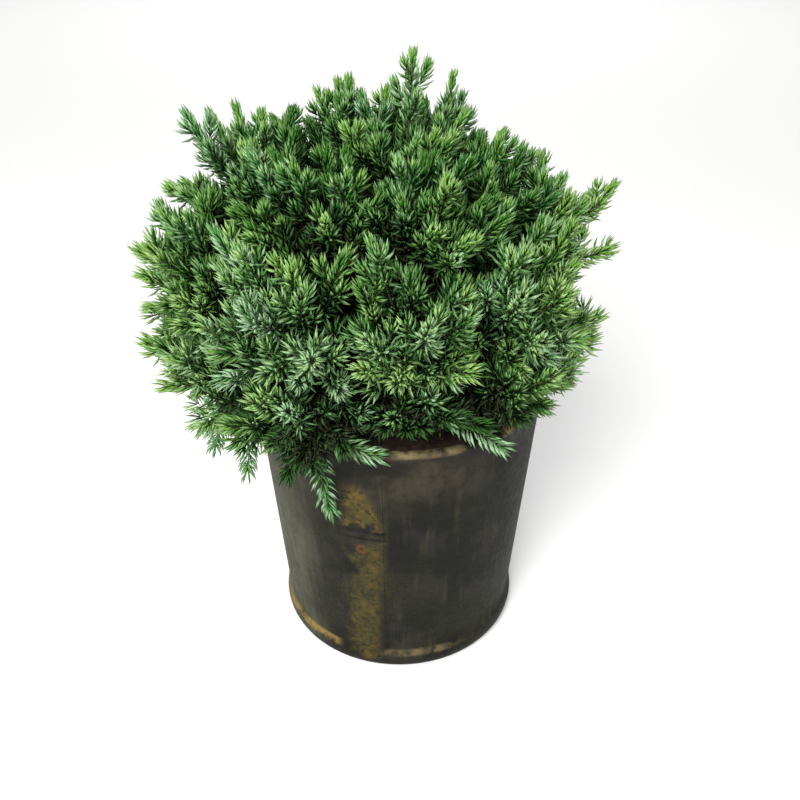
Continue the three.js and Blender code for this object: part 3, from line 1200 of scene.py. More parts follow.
def needle_finish(name: str, colour: Colour, tint: NeedleTint) -> bpy.types.Material:
    """Gives a waxy plain finish.

    Args:
        name: The material's name.
        colour: Its colour.
        tint: The tint that it belongs to, for its gloss.

    Returns:
        The material, made once.
    """
    found = bpy.data.materials.get(name)
    if found is not None:
        return found
    shader = Shader(name, colour, 0.45)
    shader.surface.inputs["Specular IOR Level"].default_value = tint.gloss
    return shader.material


@dataclass
class Branching:
    """Carries the sprays on to side shoots and inner shoots."""

    crown: Crown
    shoots: Shoots
    seed: int = 21
    twig_root: float = 1.0 * MM
    twig_tip: float = 0.5 * MM
    stem_root: float = 1.9 * MM
    point: float = 8 * MM
    dressed: float = 58 * MM
    green_end: float = 26 * MM
    side_first: float = 18 * MM
    side_pitch: float = 7 * MM
    low_main_sides: int = 3
    low_finer_sides: int = 1
    high_main_sides: int = 4
    high_finer_sides: int = 3
    side_length: float = 19 * MM
    side_longest: float = 27 * MM
    side_angle: float = 58
    hem_slack: float = 3
    thinning: float = 0.7
    side_rise: float = 0.3
    inner_shoots: int = 16
    inner_length: float = 19 * MM
    age_spread: float = 5
    pendant_age: float = -32
    leaning: tuple[float, float, float] = (1.15, 1, 0.75)
    tastes: tuple[float, float, float] = (2.2, 4, 2.4)
    flank_tastes: tuple[float, float, float] = (3, 0, -1.8)
    same_hue: float = 0.8
    pendant_from: float = 0.1
    dressed_from: float = 0.12
    twig_steps: tuple[float, ...] = (0, 0.04, 0.25, 0.5, 0.75, 0.95, 1)
    twig_sides: int = 5
    side_last: float = 0.9
    side_stray: float = 0.3
    steepest: float = -0.99
    side_angle_spread: float = 7
    side_vary: Pair = (0.85, 1.1)
    side_leaving: float = 0.5
    side_ahead: float = 0.2
    side_up: Pair = (0.1, 0.7)
    side_tries: tuple[float, ...] = (1, 0.8, 0.62)
    reach_slack: float = 1 * MM
    side_gap: float = 1.5 * MM
    inner_stray: float = 0.3
    inner_angles: Pair = (45, 95)
    inner_vary: Pair = (0.8, 1.5)
    inner_ahead: float = 0.5
    inner_gap: float = 3 * MM
    # The current mass's age offset, added to its needles' age and painted shade.
    age: float = 0
    lines: list = field(default_factory=list)
    radii: list = field(default_factory=list)

    def grow(self, masses: list[Mass], boughs: list[Bezier]) -> None:
        """Grows all masses.

        Args:
            masses: The masses.
            boughs: The lines of the boughs, which bear shaded shoots too.
        """
        random = np.random.default_rng(self.seed)
        for bough in boughs:
            self.add_inner_shoots(bough, bough.heading(1)[0], random)
        for mass in masses:
            flank = float(mass.direction[0] ** 2 / (mass.direction[0] ** 2 + mass.direction[1] ** 2))
            tastes = np.array(self.tastes) + np.array(self.flank_tastes) * flank
            taste = random.dirichlet(tastes) * self.leaning
            self.age = random.normal(0, self.age_spread)
            stem_end = self.crown.on_line(mass, self.crown.stem_end)
            stem = Bezier(mass.foot, (mass.foot + stem_end) / 2, stem_end)
            self.add_twig(stem, self.stem_root, self.twig_root)
            self.add_inner_shoots(stem, mass.direction, random)
            for spray in self.crown.sprays_of(mass, masses):
                hue = int(random.choice(len(HUES), p=taste / taste.sum()))
                self.add_spray_twig(spray.curve)
                self.add_branchlet(spray, hue, random)
        for pendant in self.crown.pendants:
            line = self.crown.pendant_line(pendant, masses)
            self.add_spray_twig(line)
            shoot = line.section(self.pendant_from, 1 - self.point / line.length)
            self.shoots.add(shoot, ShootKind.LEADER, 2, self.pendant_age)
        self.age = 0
        for riser in self.crown.risers:
            line = self.crown.riser_line(riser, masses)
            self.add_spray_twig(line)
            self.add_branchlet(Spray(line, 0, True), 1, random)

    def add_spray_twig(self, curve: Bezier) -> None:
        """Adds the wood of a branchlet, up to where it is green."""
        self.add_twig(curve, self.twig_root, self.twig_tip, 1 - self.green_end / curve.length)

    def add_twig(self, curve: Bezier, root_radius: float, tip_radius: float, end: float = 1) -> None:
        """Adds a twig of wood. One that would be shorter than it is thick is left out.

        Args:
            curve: The line that it follows.
            root_radius: Its radius at the root.
            tip_radius: Its radius at the tip.
            end: The share of the line's length where it ends.
        """
        if curve.length * end < 2 * root_radius:
            return
        self.lines.append(curve.at(np.array(self.twig_steps) * end))
        self.radii.append(np.linspace(root_radius, tip_radius, len(self.twig_steps) - 2))

    def add_branchlet(self, spray: Spray, hue: int, random: np.random.Generator) -> None:
        """Dresses a spray: needles along its outer part, and side shoots round it.

        Args:
            spray: The spray.
            hue: Its hue.
            random: The source of random numbers.
        """
        curve = spray.curve
        end = 1 - self.point / curve.length
        start = max(self.dressed_from, 1 - self.dressed / curve.length)
        self.shoots.add(curve.section(start, end), ShootKind.LEADER, hue, self.age)
        first = random.uniform(0, 2 * math.pi)
        rising = self.crown.rising_at(unit(curve.at(1)[0] - self.crown.heart))
        low, high = self.low_finer_sides, self.high_finer_sides
        if spray.is_main:
            low, high = self.low_main_sides, self.high_main_sides
        count = round(lerp(low, high, rising))
        for k in range(count):
            stray = random.uniform(-self.side_stray, self.side_stray)
            down = self.side_first + self.side_pitch * (k + stray)
            if down > curve.length * self.side_last:
                break
            share = 1 - down / curve.length
            root, heading = curve.at(share)[0], curve.heading(share)[0]
            turn = turn_up_to(heading) if heading[2] > self.steepest else np.eye(3)
            angle = math.radians(self.side_angle + random.normal(0, self.side_angle_spread))
            leaving = fanned(turn, first + GOLDEN_ANGLE * k, angle)
            grown = lerp(self.side_length, self.side_longest, k / self.high_main_sides)
            grown *= random.uniform(*self.side_vary)
            self.add_side(root, leaving, heading, grown, spray.depth, hue, random)

    def add_side(
        self,
        root: np.ndarray,
        leaving: np.ndarray,
        heading: np.ndarray,
        grown: float,
        depth: float,
        hue: int,
        random: np.random.Generator,
    ) -> None:
        """Adds a side shoot, if it has room within the crown's reach and off the pot.

        Args:
            root: Where it leaves its branchlet.
            leaving: The direction that it leaves in.
            heading: The branchlet's direction, which it turns towards.
            grown: Its length, needles included.
            depth: How far from the heart its branchlet reaches.
            hue: Its branchlet's hue.
            random: The source of random numbers.
        """
        rising = self.crown.rising_at(unit(root - self.crown.heart))
        leaving = unit(leaving + UP * self.side_rise * rising)
        up = UP * lerp(*self.side_up, rising)
        ahead = unit(leaving * self.side_leaving + heading * self.side_ahead + up)
        if random.random() < self.thinning * float(self.crown.shade_at(root, self.crown.thin_zone)):
            return
        for part in self.side_tries:
            axis = grown * part - self.point
            bend = root + leaving * axis * 0.5
            end = bend + ahead * axis * 0.5
            point = end + ahead * self.point
            out = point - self.crown.heart
            far = float(np.linalg.norm(out))
            within = far < max(depth, float(self.crown.reach_towards(out / far))) + self.reach_slack
            hem = self.crown.hem_at(float(azimuth_of(out))) - self.hem_slack
            within = within and float(elevation_of(out / far)) > hem
            if within and bool(self.crown.vessel.is_clear(point, self.side_gap)):
                own = hue if random.random() < self.same_hue else int(random.integers(len(HUES)))
                self.shoots.add(np.array((root, bend, end)), ShootKind.SIDE, own, self.age)
                return

    def add_inner_shoots(self, stem: Bezier, heading: np.ndarray, random: np.random.Generator) -> None:
        """Sets shaded shoots along a limb, which close the view through the crown.

        Args:
            stem: The limb's line.
            heading: The limb's direction.
            random: The source of random numbers.
        """
        turn = turn_up_to(heading)
        for k in range(self.inner_shoots):
            root = stem.at((k + 0.5) / self.inner_shoots)[0]
            around = GOLDEN_ANGLE * k + random.uniform(-self.inner_stray, self.inner_stray)
            leaving = fanned(turn, around, math.radians(random.uniform(*self.inner_angles)))
            length = self.inner_length * random.uniform(*self.inner_vary)
            ahead = unit(leaving + heading * self.inner_ahead)
            bend = root + leaving * length * 0.5
            line = np.array((root, bend, bend + ahead * length * 0.5))
            if bool(np.all(self.crown.vessel.is_clear(line, self.inner_gap))):
                self.shoots.add(line, ShootKind.INNER, int(random.integers(len(HUES))))

    def make(self) -> None:
        """Makes the wood of the branchlets and of the masses' stems."""
        mesh = mesh_from_arrays("twigs", *tubes(np.array(self.lines), np.array(self.radii), self.twig_sides))
        mesh.materials.append(BarkFinish("twig_bark", (0.03, 0.024, 0.014), (0.08, 0.06, 0.035)).make())
        add_piece("twigs", mesh, [])


@dataclass(frozen=True)
class BarkFinish:
    """Rough bark: two browns in strips along the wood."""

    name: str
    dark: Colour
    light: Colour
    roughness: float = 0.85
    patch: float = 140
    grain: float = 900
    patch_ease: Pair = (0.35, 0.65)
    relief: float = 0.4 * MM

    def make(self) -> bpy.types.Material:
        """Makes the finish.

        Returns:
            The material.
        """
        shader = Shader(self.name, self.dark, self.roughness)
        patches = shader.ease(shader.noise(self.patch, 4), *self.patch_ease)
        grain = shader.noise(self.grain, 3)
        shader.paint(shader.mix(shader.math("MULTIPLY", patches, grain), self.dark, self.light))
        shader.bump(grain, self.relief)
        return shader.material


@dataclass
class Wood:
    """The stem and the boughs, with the bark's relief."""

    crown: Crown
    foot_radius: float = 9 * MM
    neck_radius: float = 7 * MM
    tip_radius: float = 2.2 * MM
    flare_fade: float = 12
    straight: float = 0.35
    sway: float = 9 * MM
    gap: float = 0.3 * MM
    bough_root: float = 2.3 * MM
    bough_tip: float = 1.5 * MM
    bough_straight: float = 0.45
    stem_sides: int = 24
    stem_rings: int = 60
    bough_sides: int = 10
    bough_rings: int = 16
    ridge: float = 0.3
    ridges: float = 3.2
    ridge_stretch: float = 45

    def stem_line(self, top: Mass) -> Bezier:
        """Draws the stem: upright from the middle of the soil, then swaying to the topmost mass.

        Args:
            top: The topmost mass.

        Returns:
            The stem's line.
        """
        vessel = self.crown.vessel
        foot = UP * (vessel.height - vessel.soil_below_rim + vessel.soil_mound + self.gap)
        tip = top.foot - UP * self.gap
        pull = UP * (tip[2] - foot[2]) * self.straight
        return Bezier(foot, foot + pull, tip - pull - np.array((self.sway, 0, 0)), tip)

    def stem_radius(self, share: float) -> float:
        """Gives the stem's radius at a share of its length."""
        flare = (self.foot_radius - self.neck_radius) * math.exp(-share * self.flare_fade)
        return lerp(self.neck_radius, self.tip_radius, share) + flare

    def bough_lines(self, masses: list[Mass]) -> list[Bezier]:
        """Draws the boughs from the stem to the masses. The topmost mass has none.

        Args:
            masses: The masses, with the topmost last.

        Returns:
            The boughs' lines.
        """
        stem = self.stem_line(masses[-1])
        lines = []
        for mass in masses[:-1]:
            root = stem.at(mass.leaves)[0]
            straight = self.bough_straight * float(np.linalg.norm(mass.foot - root))
            lines.append(Bezier(root, mass.foot - mass.direction * straight, mass.foot))
        return lines

    def add_limb(self, body: bmesh.types.BMesh, line: Bezier, radii: list[float], sides: int) -> None:
        """Grows one limb, ring by ring, with ridged bark.

        Args:
            body: The mesh that it is added to.
            line: Its line.
            radii: Its radius at even steps along the line.
            sides: The number of its sides.
        """
        shares = np.linspace(0, 1, len(radii))
        centres, headings = line.at(shares), line.heading(shares)
        places = []
        for centre, heading, radius in zip(centres, headings, radii):
            turn = Matrix(turn_up_to(heading).tolist()).to_4x4()
            places.append(Matrix.Translation(centre) @ turn @ Matrix.Scale(radius, 4))
        made = bmesh.ops.create_circle(
            body, cap_ends=True, radius=1.0, segments=sides, matrix=places[0])
        corners = list(made["verts"])
        edges = [e for e in body.edges if e.verts[0] in corners and e.verts[1] in corners]
        for before, after in zip(places[:-1], places[1:]):
            grown = bmesh.ops.extrude_edge_only(body, edges=edges)["geom"]
            edges = [g for g in grown if isinstance(g, bmesh.types.BMEdge)]
            edges = [e for e in edges if not (e.verts[0] in corners or e.verts[1] in corners)]
            corners = [g for g in grown if isinstance(g, bmesh.types.BMVert)]
            bmesh.ops.transform(body, matrix=after @ before.inverted(), verts=corners)
            centre, radius = after.translation, after.to_scale().x
            for corner in corners:
                away = (corner.co - centre).normalized()
                relief = noise.noise(away * self.ridges + centre * self.ridge_stretch)
                corner.co = centre + away * radius * (1 + self.ridge * relief)
        bmesh.ops.edgeloop_fill(body, edges=edges)

    def make(self, masses: list[Mass]) -> None:
        """Makes the stem and the boughs.

        Args:
            masses: The masses, with the topmost last.
        """
        stem = self.stem_line(masses[-1])
        finish = BarkFinish("bark", (0.05, 0.032, 0.02), (0.15, 0.11, 0.07)).make()
        boughs = [f"bough_{mass.name}" for mass in masses[:-1]]
        for name, lines, sides, rings, replaced in (
            ("stem_bark", [stem], self.stem_sides, self.stem_rings, ["stem"]),
            ("boughs_bark", self.bough_lines(masses), self.bough_sides, self.bough_rings, boughs),
        ):
            body = bmesh.new()
            for line in lines:
                shares = np.linspace(0, 1, rings)
                if line is stem:
                    radii = [self.stem_radius(share) for share in shares]
                else:
                    radii = [lerp(self.bough_root, self.bough_tip, share) for share in shares]
                self.add_limb(body, line, radii, sides)
            bmesh.ops.recalc_face_normals(body, faces=body.faces)
            mesh = finished(body, name)
            mesh.materials.append(finish)
            mesh.shade_smooth()
            add_piece(name, mesh, replaced)


@dataclass(frozen=True)
class PotFinish:
    """Weathered dark plastic with dried mud: a stain beside the seam, dust on the lip and the foot ring,
    painted highlights on their tops, painted light on the left flank and painted shade at the bottom of the
    foot.
    """

    plastic: Colour = (0.0062, 0.0062, 0.0048)
    plum: Colour = (0.014, 0.012, 0.015)
    worn: Colour = (0.0165, 0.017, 0.0085)
    scuff: Colour = (0.026, 0.0265, 0.015)
    # Painted light: a mottled olive lightening on the left flank.
    painted_light_olive: Colour = (0.069, 0.070, 0.042)
    haze: Colour = (0.037, 0.030, 0.019)
    ochre: Colour = (0.105, 0.066, 0.014)
    mud: Colour = (0.050, 0.041, 0.010)
    slime: Colour = (0.024, 0.022, 0.009)
    rust: Colour = (0.095, 0.036, 0.013)
    # Dust on the lip and the foot ring, and painted highlight on their tops.
    dust_and_highlight: Colour = (0.165, 0.124, 0.060)
    # Dark soot lines across the stain, and painted shade under the foot ring.
    soot_and_shade: Colour = (0.006, 0.005, 0.0045)
    # Painted highlight on the foot ring's top, to the left.
    painted_highlight_gold: Colour = (0.21, 0.14, 0.04)
    seam_azimuth: float = -7
    stain_from: float = -24
    stain_lean: float = 35
    blotch_lean: float = 330
    blotch_low: float = 113 * MM
    blotch_high: float = 141 * MM
    lines: tuple[float, ...] = (109.5 * MM, 104.5 * MM)
    upright_at: float = 104.5 * MM / 2
    spot: tuple[float, float, float] = (-20.5 * MM, -74.5 * MM, 96.5 * MM)
    gloss: float = 0.12
    rough: Pair = (0.45, 0.35)
    relief: float = 0.2 * MM
    streaked: tuple[float, float, float] = (1, 1, 0.06)
    brushed: tuple[float, float, float] = (1, 1, 0.12)
    streak_noise: Pair = (240, 5)
    broad_noise: Pair = (24, 5)
    blot_noise: Pair = (48, 6)
    fine_noise: Pair = (260, 5)
    grit_noise: Pair = (700, 4)
    flaky_noise: Pair = (110, 6)
    scratch_noise: Pair = (420, 4)
    ragged_noise: Pair = (70, 6)
    patchy_noise: Pair = (150, 6)
    plum_blots: Pair = (0.5, 0.66)
    worn_broad: Pair = (0.4, 0.6)
    worn_grit: Pair = (0.25, 0.7)
    scuff_streaks: Pair = (0.5, 0.72)
    scuff_blots: Pair = (0.35, 0.6)
    wavering: float = 60.0
    olive_streaks: Pair = (0.2, 0.62)
    olive_blots: Pair = (0.2, 0.5)
    olive_side: Pair = (-30, -54)
    olive_back: Pair = (-170, -100)
    olive_least: float = 0.4
    olive_share: float = 0.92
    haze_heights: Pair = (118 * MM, 148 * MM)
    haze_sides: tuple[float, float, float] = (-22, 30, 10)
    haze_blots: Pair = (0.3, 0.6)
    haze_fine: Pair = (0.2, 0.65)
    lip_below: Pair = (5 * MM, 1 * MM)
    lip_blots: Pair = (0.36, 0.56)
    flakes: Pair = (0.34, 0.56)
    foot_side: Pair = (-26, -32)
    foot_back: Pair = (-160, -90)
    foot_front: tuple[float, float, float] = (-6, 32, 6)
    foot_front_share: float = 0.6
    foot_blots: Pair = (0.4, 0.56)
    foot_full: Pair = (-24, -34)
    foot_band: Pair = (0.72, 1.0)
    foot_soft: float = 1.2 * MM
    foot_fine: Pair = (0.2, 0.5)
    gold_side: Pair = (-12, -22)
    painted_shade_heights: Pair = (0.6, 0.3)
    painted_shade_share: float = 0.8
    ragged_by: float = 22.0
    frayed_by: float = 7.0
    seam_edge: Pair = (3, -4)
    stain_edge: Pair = (-4, 5)
    run_edge: Pair = (-1, 7)
    run_below: Pair = (4 * MM, 9 * MM)
    run_ragged: Pair = (0.24, 0.48)
    run_share: float = 0.88
    slime_grit: Pair = (0.35, 0.6)
    fleck_patches: Pair = (0.5, 0.68)
    fleck_share: float = 0.45
    blotch_ragged: float = 26 * MM
    blotch_soft: float = 3 * MM
    blotch_edge: Pair = (2, -4)
    crust_patches: Pair = (0.4, 0.6)
    crust_grit: Pair = (0.5, 0.36)
    line_edge: Pair = (-4, 1)
    line_fade: float = 3
    line_half: float = 1 * MM
    line_soft: float = 0.7 * MM
    line_share: float = 0.85
    spot_ragged: float = 8 * MM
    spot_ring: tuple[float, float, float] = (1.2 * MM, 3.4 * MM, 1 * MM)
    spot_patches: Pair = (0.3, 0.5)
    spot_share: float = 0.8

    def make(self, vessel: Vessel, foot_height: float) -> bpy.types.Material:
        """Makes the material.

        Args:
            vessel: The pot's sizes.
            foot_height: The height of the foot ring.

        Returns:
            The material.
        """
        shader = Shader("pot_plastic", self.plastic, 0.6)
        x, y, z = shader.split()
        azimuth = shader.math("ARCTAN2", x, shader.math("MULTIPLY", y, -1.0))
        azimuth = shader.math("MULTIPLY", azimuth, math.degrees(1))
        upright = shader.node("Mapping", {0: shader.place, "Scale": self.streaked}).outputs[0]
        brushed = shader.node("Mapping", {0: shader.place, "Scale": self.brushed}).outputs[0]
        streaks = shader.noise(*self.streak_noise, upright)
        broad, blots = shader.noise(*self.broad_noise), shader.noise(*self.blot_noise)
        fine, grit = shader.noise(*self.fine_noise), shader.noise(*self.grit_noise)
        flaky = shader.noise(*self.flaky_noise)
        colour = shader.mix(shader.ease(blots, *self.plum_blots), self.plastic, self.plum)
        worn = shader.times(shader.ease(broad, *self.worn_broad), shader.ease(grit, *self.worn_grit))
        colour = shader.mix(worn, colour, self.worn)
        scuffs = shader.times(
            shader.ease(streaks, *self.scuff_streaks), shader.ease(blots, *self.scuff_blots))
        colour = shader.mix(scuffs, colour, self.scuff)
        wavy = shader.math("ADD", azimuth, shader.stray(broad, self.wavering))
        # Painted light on the left flank, mottled by streaks and blots.
        uneven = shader.times(
            shader.ease(streaks, *self.olive_streaks), shader.ease(blots, *self.olive_blots))
        painted_light_olive = shader.times(
            shader.ease(wavy, *self.olive_side), shader.ease(azimuth, *self.olive_back),
            shader.math("ADD", shader.times(uneven, 1 - self.olive_least), self.olive_least),
            self.olive_share)
        colour = shader.mix(painted_light_olive, colour, self.painted_light_olive)
        haze = shader.times(
            shader.ease(z, *self.haze_heights), shader.band(wavy, *self.haze_sides),
            shader.ease(blots, *self.haze_blots), shader.ease(fine, *self.haze_fine))
        colour = shader.mix(haze, colour, self.haze)
        colour = self.stain(shader, colour, azimuth, z)
        # Dust on the top of the lip, which is also a painted highlight on the roll's top.
        lip = shader.times(
            shader.ease(z, *(vessel.height - below for below in self.lip_below)),
            shader.ease(blots, *self.lip_blots), shader.ease(flaky, *self.flakes))
        colour = shader.mix(lip, colour, self.dust_and_highlight)
        # The foot ring's top: a painted highlight in dusty patches, gold to the left and tan elsewhere,
        # strongest to the left and the front.
        leftward = shader.times(
            shader.ease(azimuth, *self.foot_side), shader.ease(azimuth, *self.foot_back))
        front = shader.times(shader.band(azimuth, *self.foot_front), self.foot_front_share)
        dust_and_highlight_sides = shader.math("ADD", leftward, front)
        patches = shader.math(
            "MAXIMUM", shader.ease(blots, *self.foot_blots), shader.ease(azimuth, *self.foot_full))
        low, high = (foot_height * share for share in self.foot_band)
        foot = shader.times(
            shader.band(z, low, high, self.foot_soft), patches,
            shader.ease(flaky, *self.flakes), shader.ease(fine, *self.foot_fine), dust_and_highlight_sides)
        foot_dust_and_highlight = shader.mix(shader.ease(azimuth, *self.gold_side), self.dust_and_highlight, self.painted_highlight_gold)
        colour = shader.mix(foot, colour, foot_dust_and_highlight)
        # Painted shade under the foot ring's bulge: darker towards the bottom.
        low, high = (foot_height * share for share in self.painted_shade_heights)
        under = shader.times(shader.ease(z, low, high), self.painted_shade_share)
        colour = shader.mix(under, colour, self.soot_and_shade)
        roughness = shader.math("ADD", self.rough[0], shader.times(fine, self.rough[1]))
        shader.paint(colour, roughness)
        shader.surface.inputs["Specular IOR Level"].default_value = self.gloss
        scratches = shader.noise(*self.scratch_noise, brushed)
        relief = shader.math("ADD", shader.math("ADD", fine, streaks), shader.math("ADD", grit, scratches))
        shader.bump(relief, self.relief)
        return shader.material

    def stain(
        self, shader: Shader, colour: bpy.types.NodeSocket, azimuth: object, z: object
    ) -> bpy.types.NodeSocket:
        """Lays the mud beside the seam: a blotch, two dark lines, a rusty spot and a run below them.

        Args:
            shader: The pot's shader.
            colour: The colour under the mud.
            azimuth: The azimuth, in degrees.
            z: The height.

        Returns:
            The stained colour.
        """
        ragged, patchy = shader.noise(*self.ragged_noise), shader.noise(*self.patchy_noise)
        grit = shader.noise(*self.scratch_noise)
        wander = shader.stray(ragged, self.ragged_by)
        lean = shader.times(shader.math("SUBTRACT", z, self.upright_at), self.stain_lean)
        azimuth = shader.math("SUBTRACT", azimuth, lean)
        edge = shader.math("ADD", azimuth, wander)
        frayed = shader.math("ADD", azimuth, shader.stray(patchy, self.frayed_by))
        beside = shader.ease(frayed, *(self.seam_azimuth + off for off in self.seam_edge))
        stain = shader.ease(edge, *(self.stain_from + off for off in self.stain_edge))
        stain = shader.times(stain, beside)
        run = shader.times(
            stain, shader.ease(edge, *(self.stain_from + off for off in self.run_edge)),
            shader.ease(z, *(self.blotch_low - below for below in self.run_below)),
            shader.ease(ragged, *self.run_ragged), self.run_share)
        slimy = shader.mix(shader.ease(grit, *self.slime_grit), self.slime, self.mud)
        colour = shader.mix(run, colour, slimy)
        flecks = shader.times(run, shader.ease(patchy, *self.fleck_patches), self.fleck_share)
        colour = shader.mix(flecks, colour, self.ochre)
        high = shader.math("ADD", z, shader.stray(patchy, self.blotch_ragged))
        drawn_in = shader.times(shader.math("SUBTRACT", z, self.blotch_low), self.blotch_lean)
        limits = (self.seam_azimuth + off for off in self.blotch_edge)
        blotch = shader.times(
            stain, shader.band(high, self.blotch_low, self.blotch_high, self.blotch_soft),
            shader.ease(shader.math("ADD", frayed, drawn_in), *limits))
        crust = shader.mix(shader.ease(patchy, *self.crust_patches), self.mud, self.ochre)
        crust = shader.mix(shader.ease(grit, *self.crust_grit), crust, self.slime)
        colour = shader.mix(blotch, colour, crust)
        first, last = self.stain_from + self.line_edge[0], self.seam_azimuth + self.line_edge[1]
        wide = shader.band(azimuth, first, last, self.line_fade)
        for line in self.lines:
            thin = shader.band(z, line - self.line_half, line + self.line_half, self.line_soft)
            colour = shader.mix(shader.times(thin, wide, self.line_share), colour, self.soot_and_shade)
        ends = {0: shader.place, 1: self.spot}
        away = shader.node("VectorMath", ends, operation="DISTANCE").outputs["Value"]
        away = shader.math("ADD", away, shader.stray(patchy, self.spot_ragged))
        ring = shader.band(away, *self.spot_ring)
        ring = shader.times(ring, shader.ease(patchy, *self.spot_patches))
        return shader.mix(shader.times(ring, self.spot_share), colour, self.rust)


@dataclass
class Pot:
    """The tapered nursery pot, with its rolled lip, foot ring, mould seams and drain holes."""

    vessel: Vessel
    lip_radius: float = 2.6 * MM
    foot_height: float = 14 * MM
    foot_bulge: float = 2.5 * MM
    foot_inset: float = 1 * MM
    seam_proud: float = 0.5 * MM
    seam_azimuths: Pair = (-7, 173)
    seam_foot: float = 0.95
    seam_top: float = 0.7
    seam_end: float = 2.4
    seam_reach: float = 1.6
    seam_slack: float = 0.1 * MM
    wall_slack: float = 0.5 * MM
    spin_steps: int = 180
    foot_steps: int = 10
    foot_power: float = 0.7
    wall_steps: int = 12
    lip_drop: float = 1.1
    lip_turns: tuple[int, int, int] = (-60, 181, 24)
    floor_corner: float = 1.6
    sharp_angle: float = 50
    drain_holes: int = 5
    drain_radius: float = 6 * MM
    drain_circle: float = 54 * MM
    drain_sides: int = 32
    drain_depth: float = 4

    def profile(self) -> list[Pair]:
        """Draws the wall's section.

        Returns:
            Radius and height of each corner, from the underside's middle round to the floor's middle.
        """
        v = self.vessel
        flat = self.drain_circle + self.drain_radius * 2
        corners = [(0.0, 0.0), (flat, 0.0), (v.base_radius - self.foot_inset, 0.0)]
        for i in range(1, self.foot_steps):
            rise = i / self.foot_steps
            bulge = self.foot_bulge * math.sin(math.pi * rise) ** self.foot_power
            corners.append((v.radius_at(self.foot_height * rise) + bulge, self.foot_height * rise))
        corners.append((v.radius_at(self.foot_height), self.foot_height))
        top = v.height - self.lip_radius
        under_lip = top - self.lip_radius * self.lip_drop
        for i in range(1, self.wall_steps):
            z = self.foot_height + (under_lip - self.foot_height) * i / self.wall_steps
            corners.append((v.radius_at(z), z))
        centre = v.radius_at(top) - v.wall / 2
        for turn in range(*self.lip_turns):
            a = math.radians(turn)
            corners.append((centre + self.lip_radius * math.cos(a), top + self.lip_radius * math.sin(a)))
        inner = v.radius_at(v.floor)
        corners += [(v.radius_at(under_lip) - v.wall, under_lip)]
        corners += [(inner - v.wall, v.floor * self.floor_corner)]
        corners += [(inner - v.wall * self.floor_corner, v.floor), (flat, v.floor), (0.0, v.floor)]
        return corners

    def raise_seams(self, body: bmesh.types.BMesh) -> None:
        """Draws two columns of the wall together at each mould seam, and lifts them.

        Args:
            body: The pot's body.
        """
        step = 360 / self.spin_steps
        low, high = self.foot_height, self.vessel.height - self.seam_end * self.lip_radius
        for vert in body.verts:
            out = math.hypot(vert.co.x, vert.co.y)
            is_inside = out < self.vessel.radius_at(vert.co.z) - self.wall_slack
            if is_inside or not low - self.seam_slack < vert.co.z < high:
                continue
            azimuth = math.degrees(math.atan2(vert.co.x, -vert.co.y))
            for seam in self.seam_azimuths:
                off = (azimuth - seam + 180) % 360 - 180
                if abs(off) > self.seam_reach * step:
                    continue
                is_top = abs(off) < step
                moved = math.copysign(self.seam_top if is_top else self.seam_foot, off)
                a = math.radians(seam + moved)
                out += self.seam_proud if is_top and vert.co.z > low + self.seam_slack else 0
                vert.co.x, vert.co.y = math.sin(a) * out, -math.cos(a) * out

    def shell(self) -> bpy.types.Mesh:
        """Spins the section.

        Returns:
            The pot's mesh, before its drain holes.
        """
        phase = math.radians(self.seam_azimuths[0] - 90 + 180 / self.spin_steps)
        body = spun(self.profile(), self.spin_steps, phase)
        self.raise_seams(body)
        return finished(body, "pot_shell")

    def drain_cutter(self) -> bpy.types.Object:
        """Makes the pins that cut the drain holes.

        Returns:
            The pins, as one object.
        """
        body = bmesh.new()
        for i in range(self.drain_holes):
            at = towards(360 / self.drain_holes * i, 0) * self.drain_circle
            bmesh.ops.create_cone(
                body, cap_ends=True, segments=self.drain_sides,
                radius1=self.drain_radius, radius2=self.drain_radius,
                depth=self.vessel.floor * self.drain_depth, matrix=Matrix.Translation(at))
        return put_in_scene("drain_cutter", finished(body, "drain_cutter"))

    def make(self) -> None:
        """Makes the pot."""
        cutter = self.drain_cutter()
        shell = put_in_scene("pot_shell", self.shell())
        cut = shell.modifiers.new("drain_holes", "BOOLEAN")
        cut.operation, cut.object, cut.solver = "DIFFERENCE", cutter, "EXACT"
        drilled = bpy.data.meshes.new_from_object(shell.evaluated_get(bpy.context.evaluated_depsgraph_get()))
        for spare in (cutter, shell):
            bpy.data.objects.remove(spare)
        drilled.name = "pot_body"
        drilled.materials.clear()
        drilled.materials.append(PotFinish().make(self.vessel, self.foot_height))
        drilled.shade_smooth()
        drilled.set_sharp_from_angle(angle=math.radians(self.sharp_angle))
        add_piece("pot_body", drilled, ["pot"])


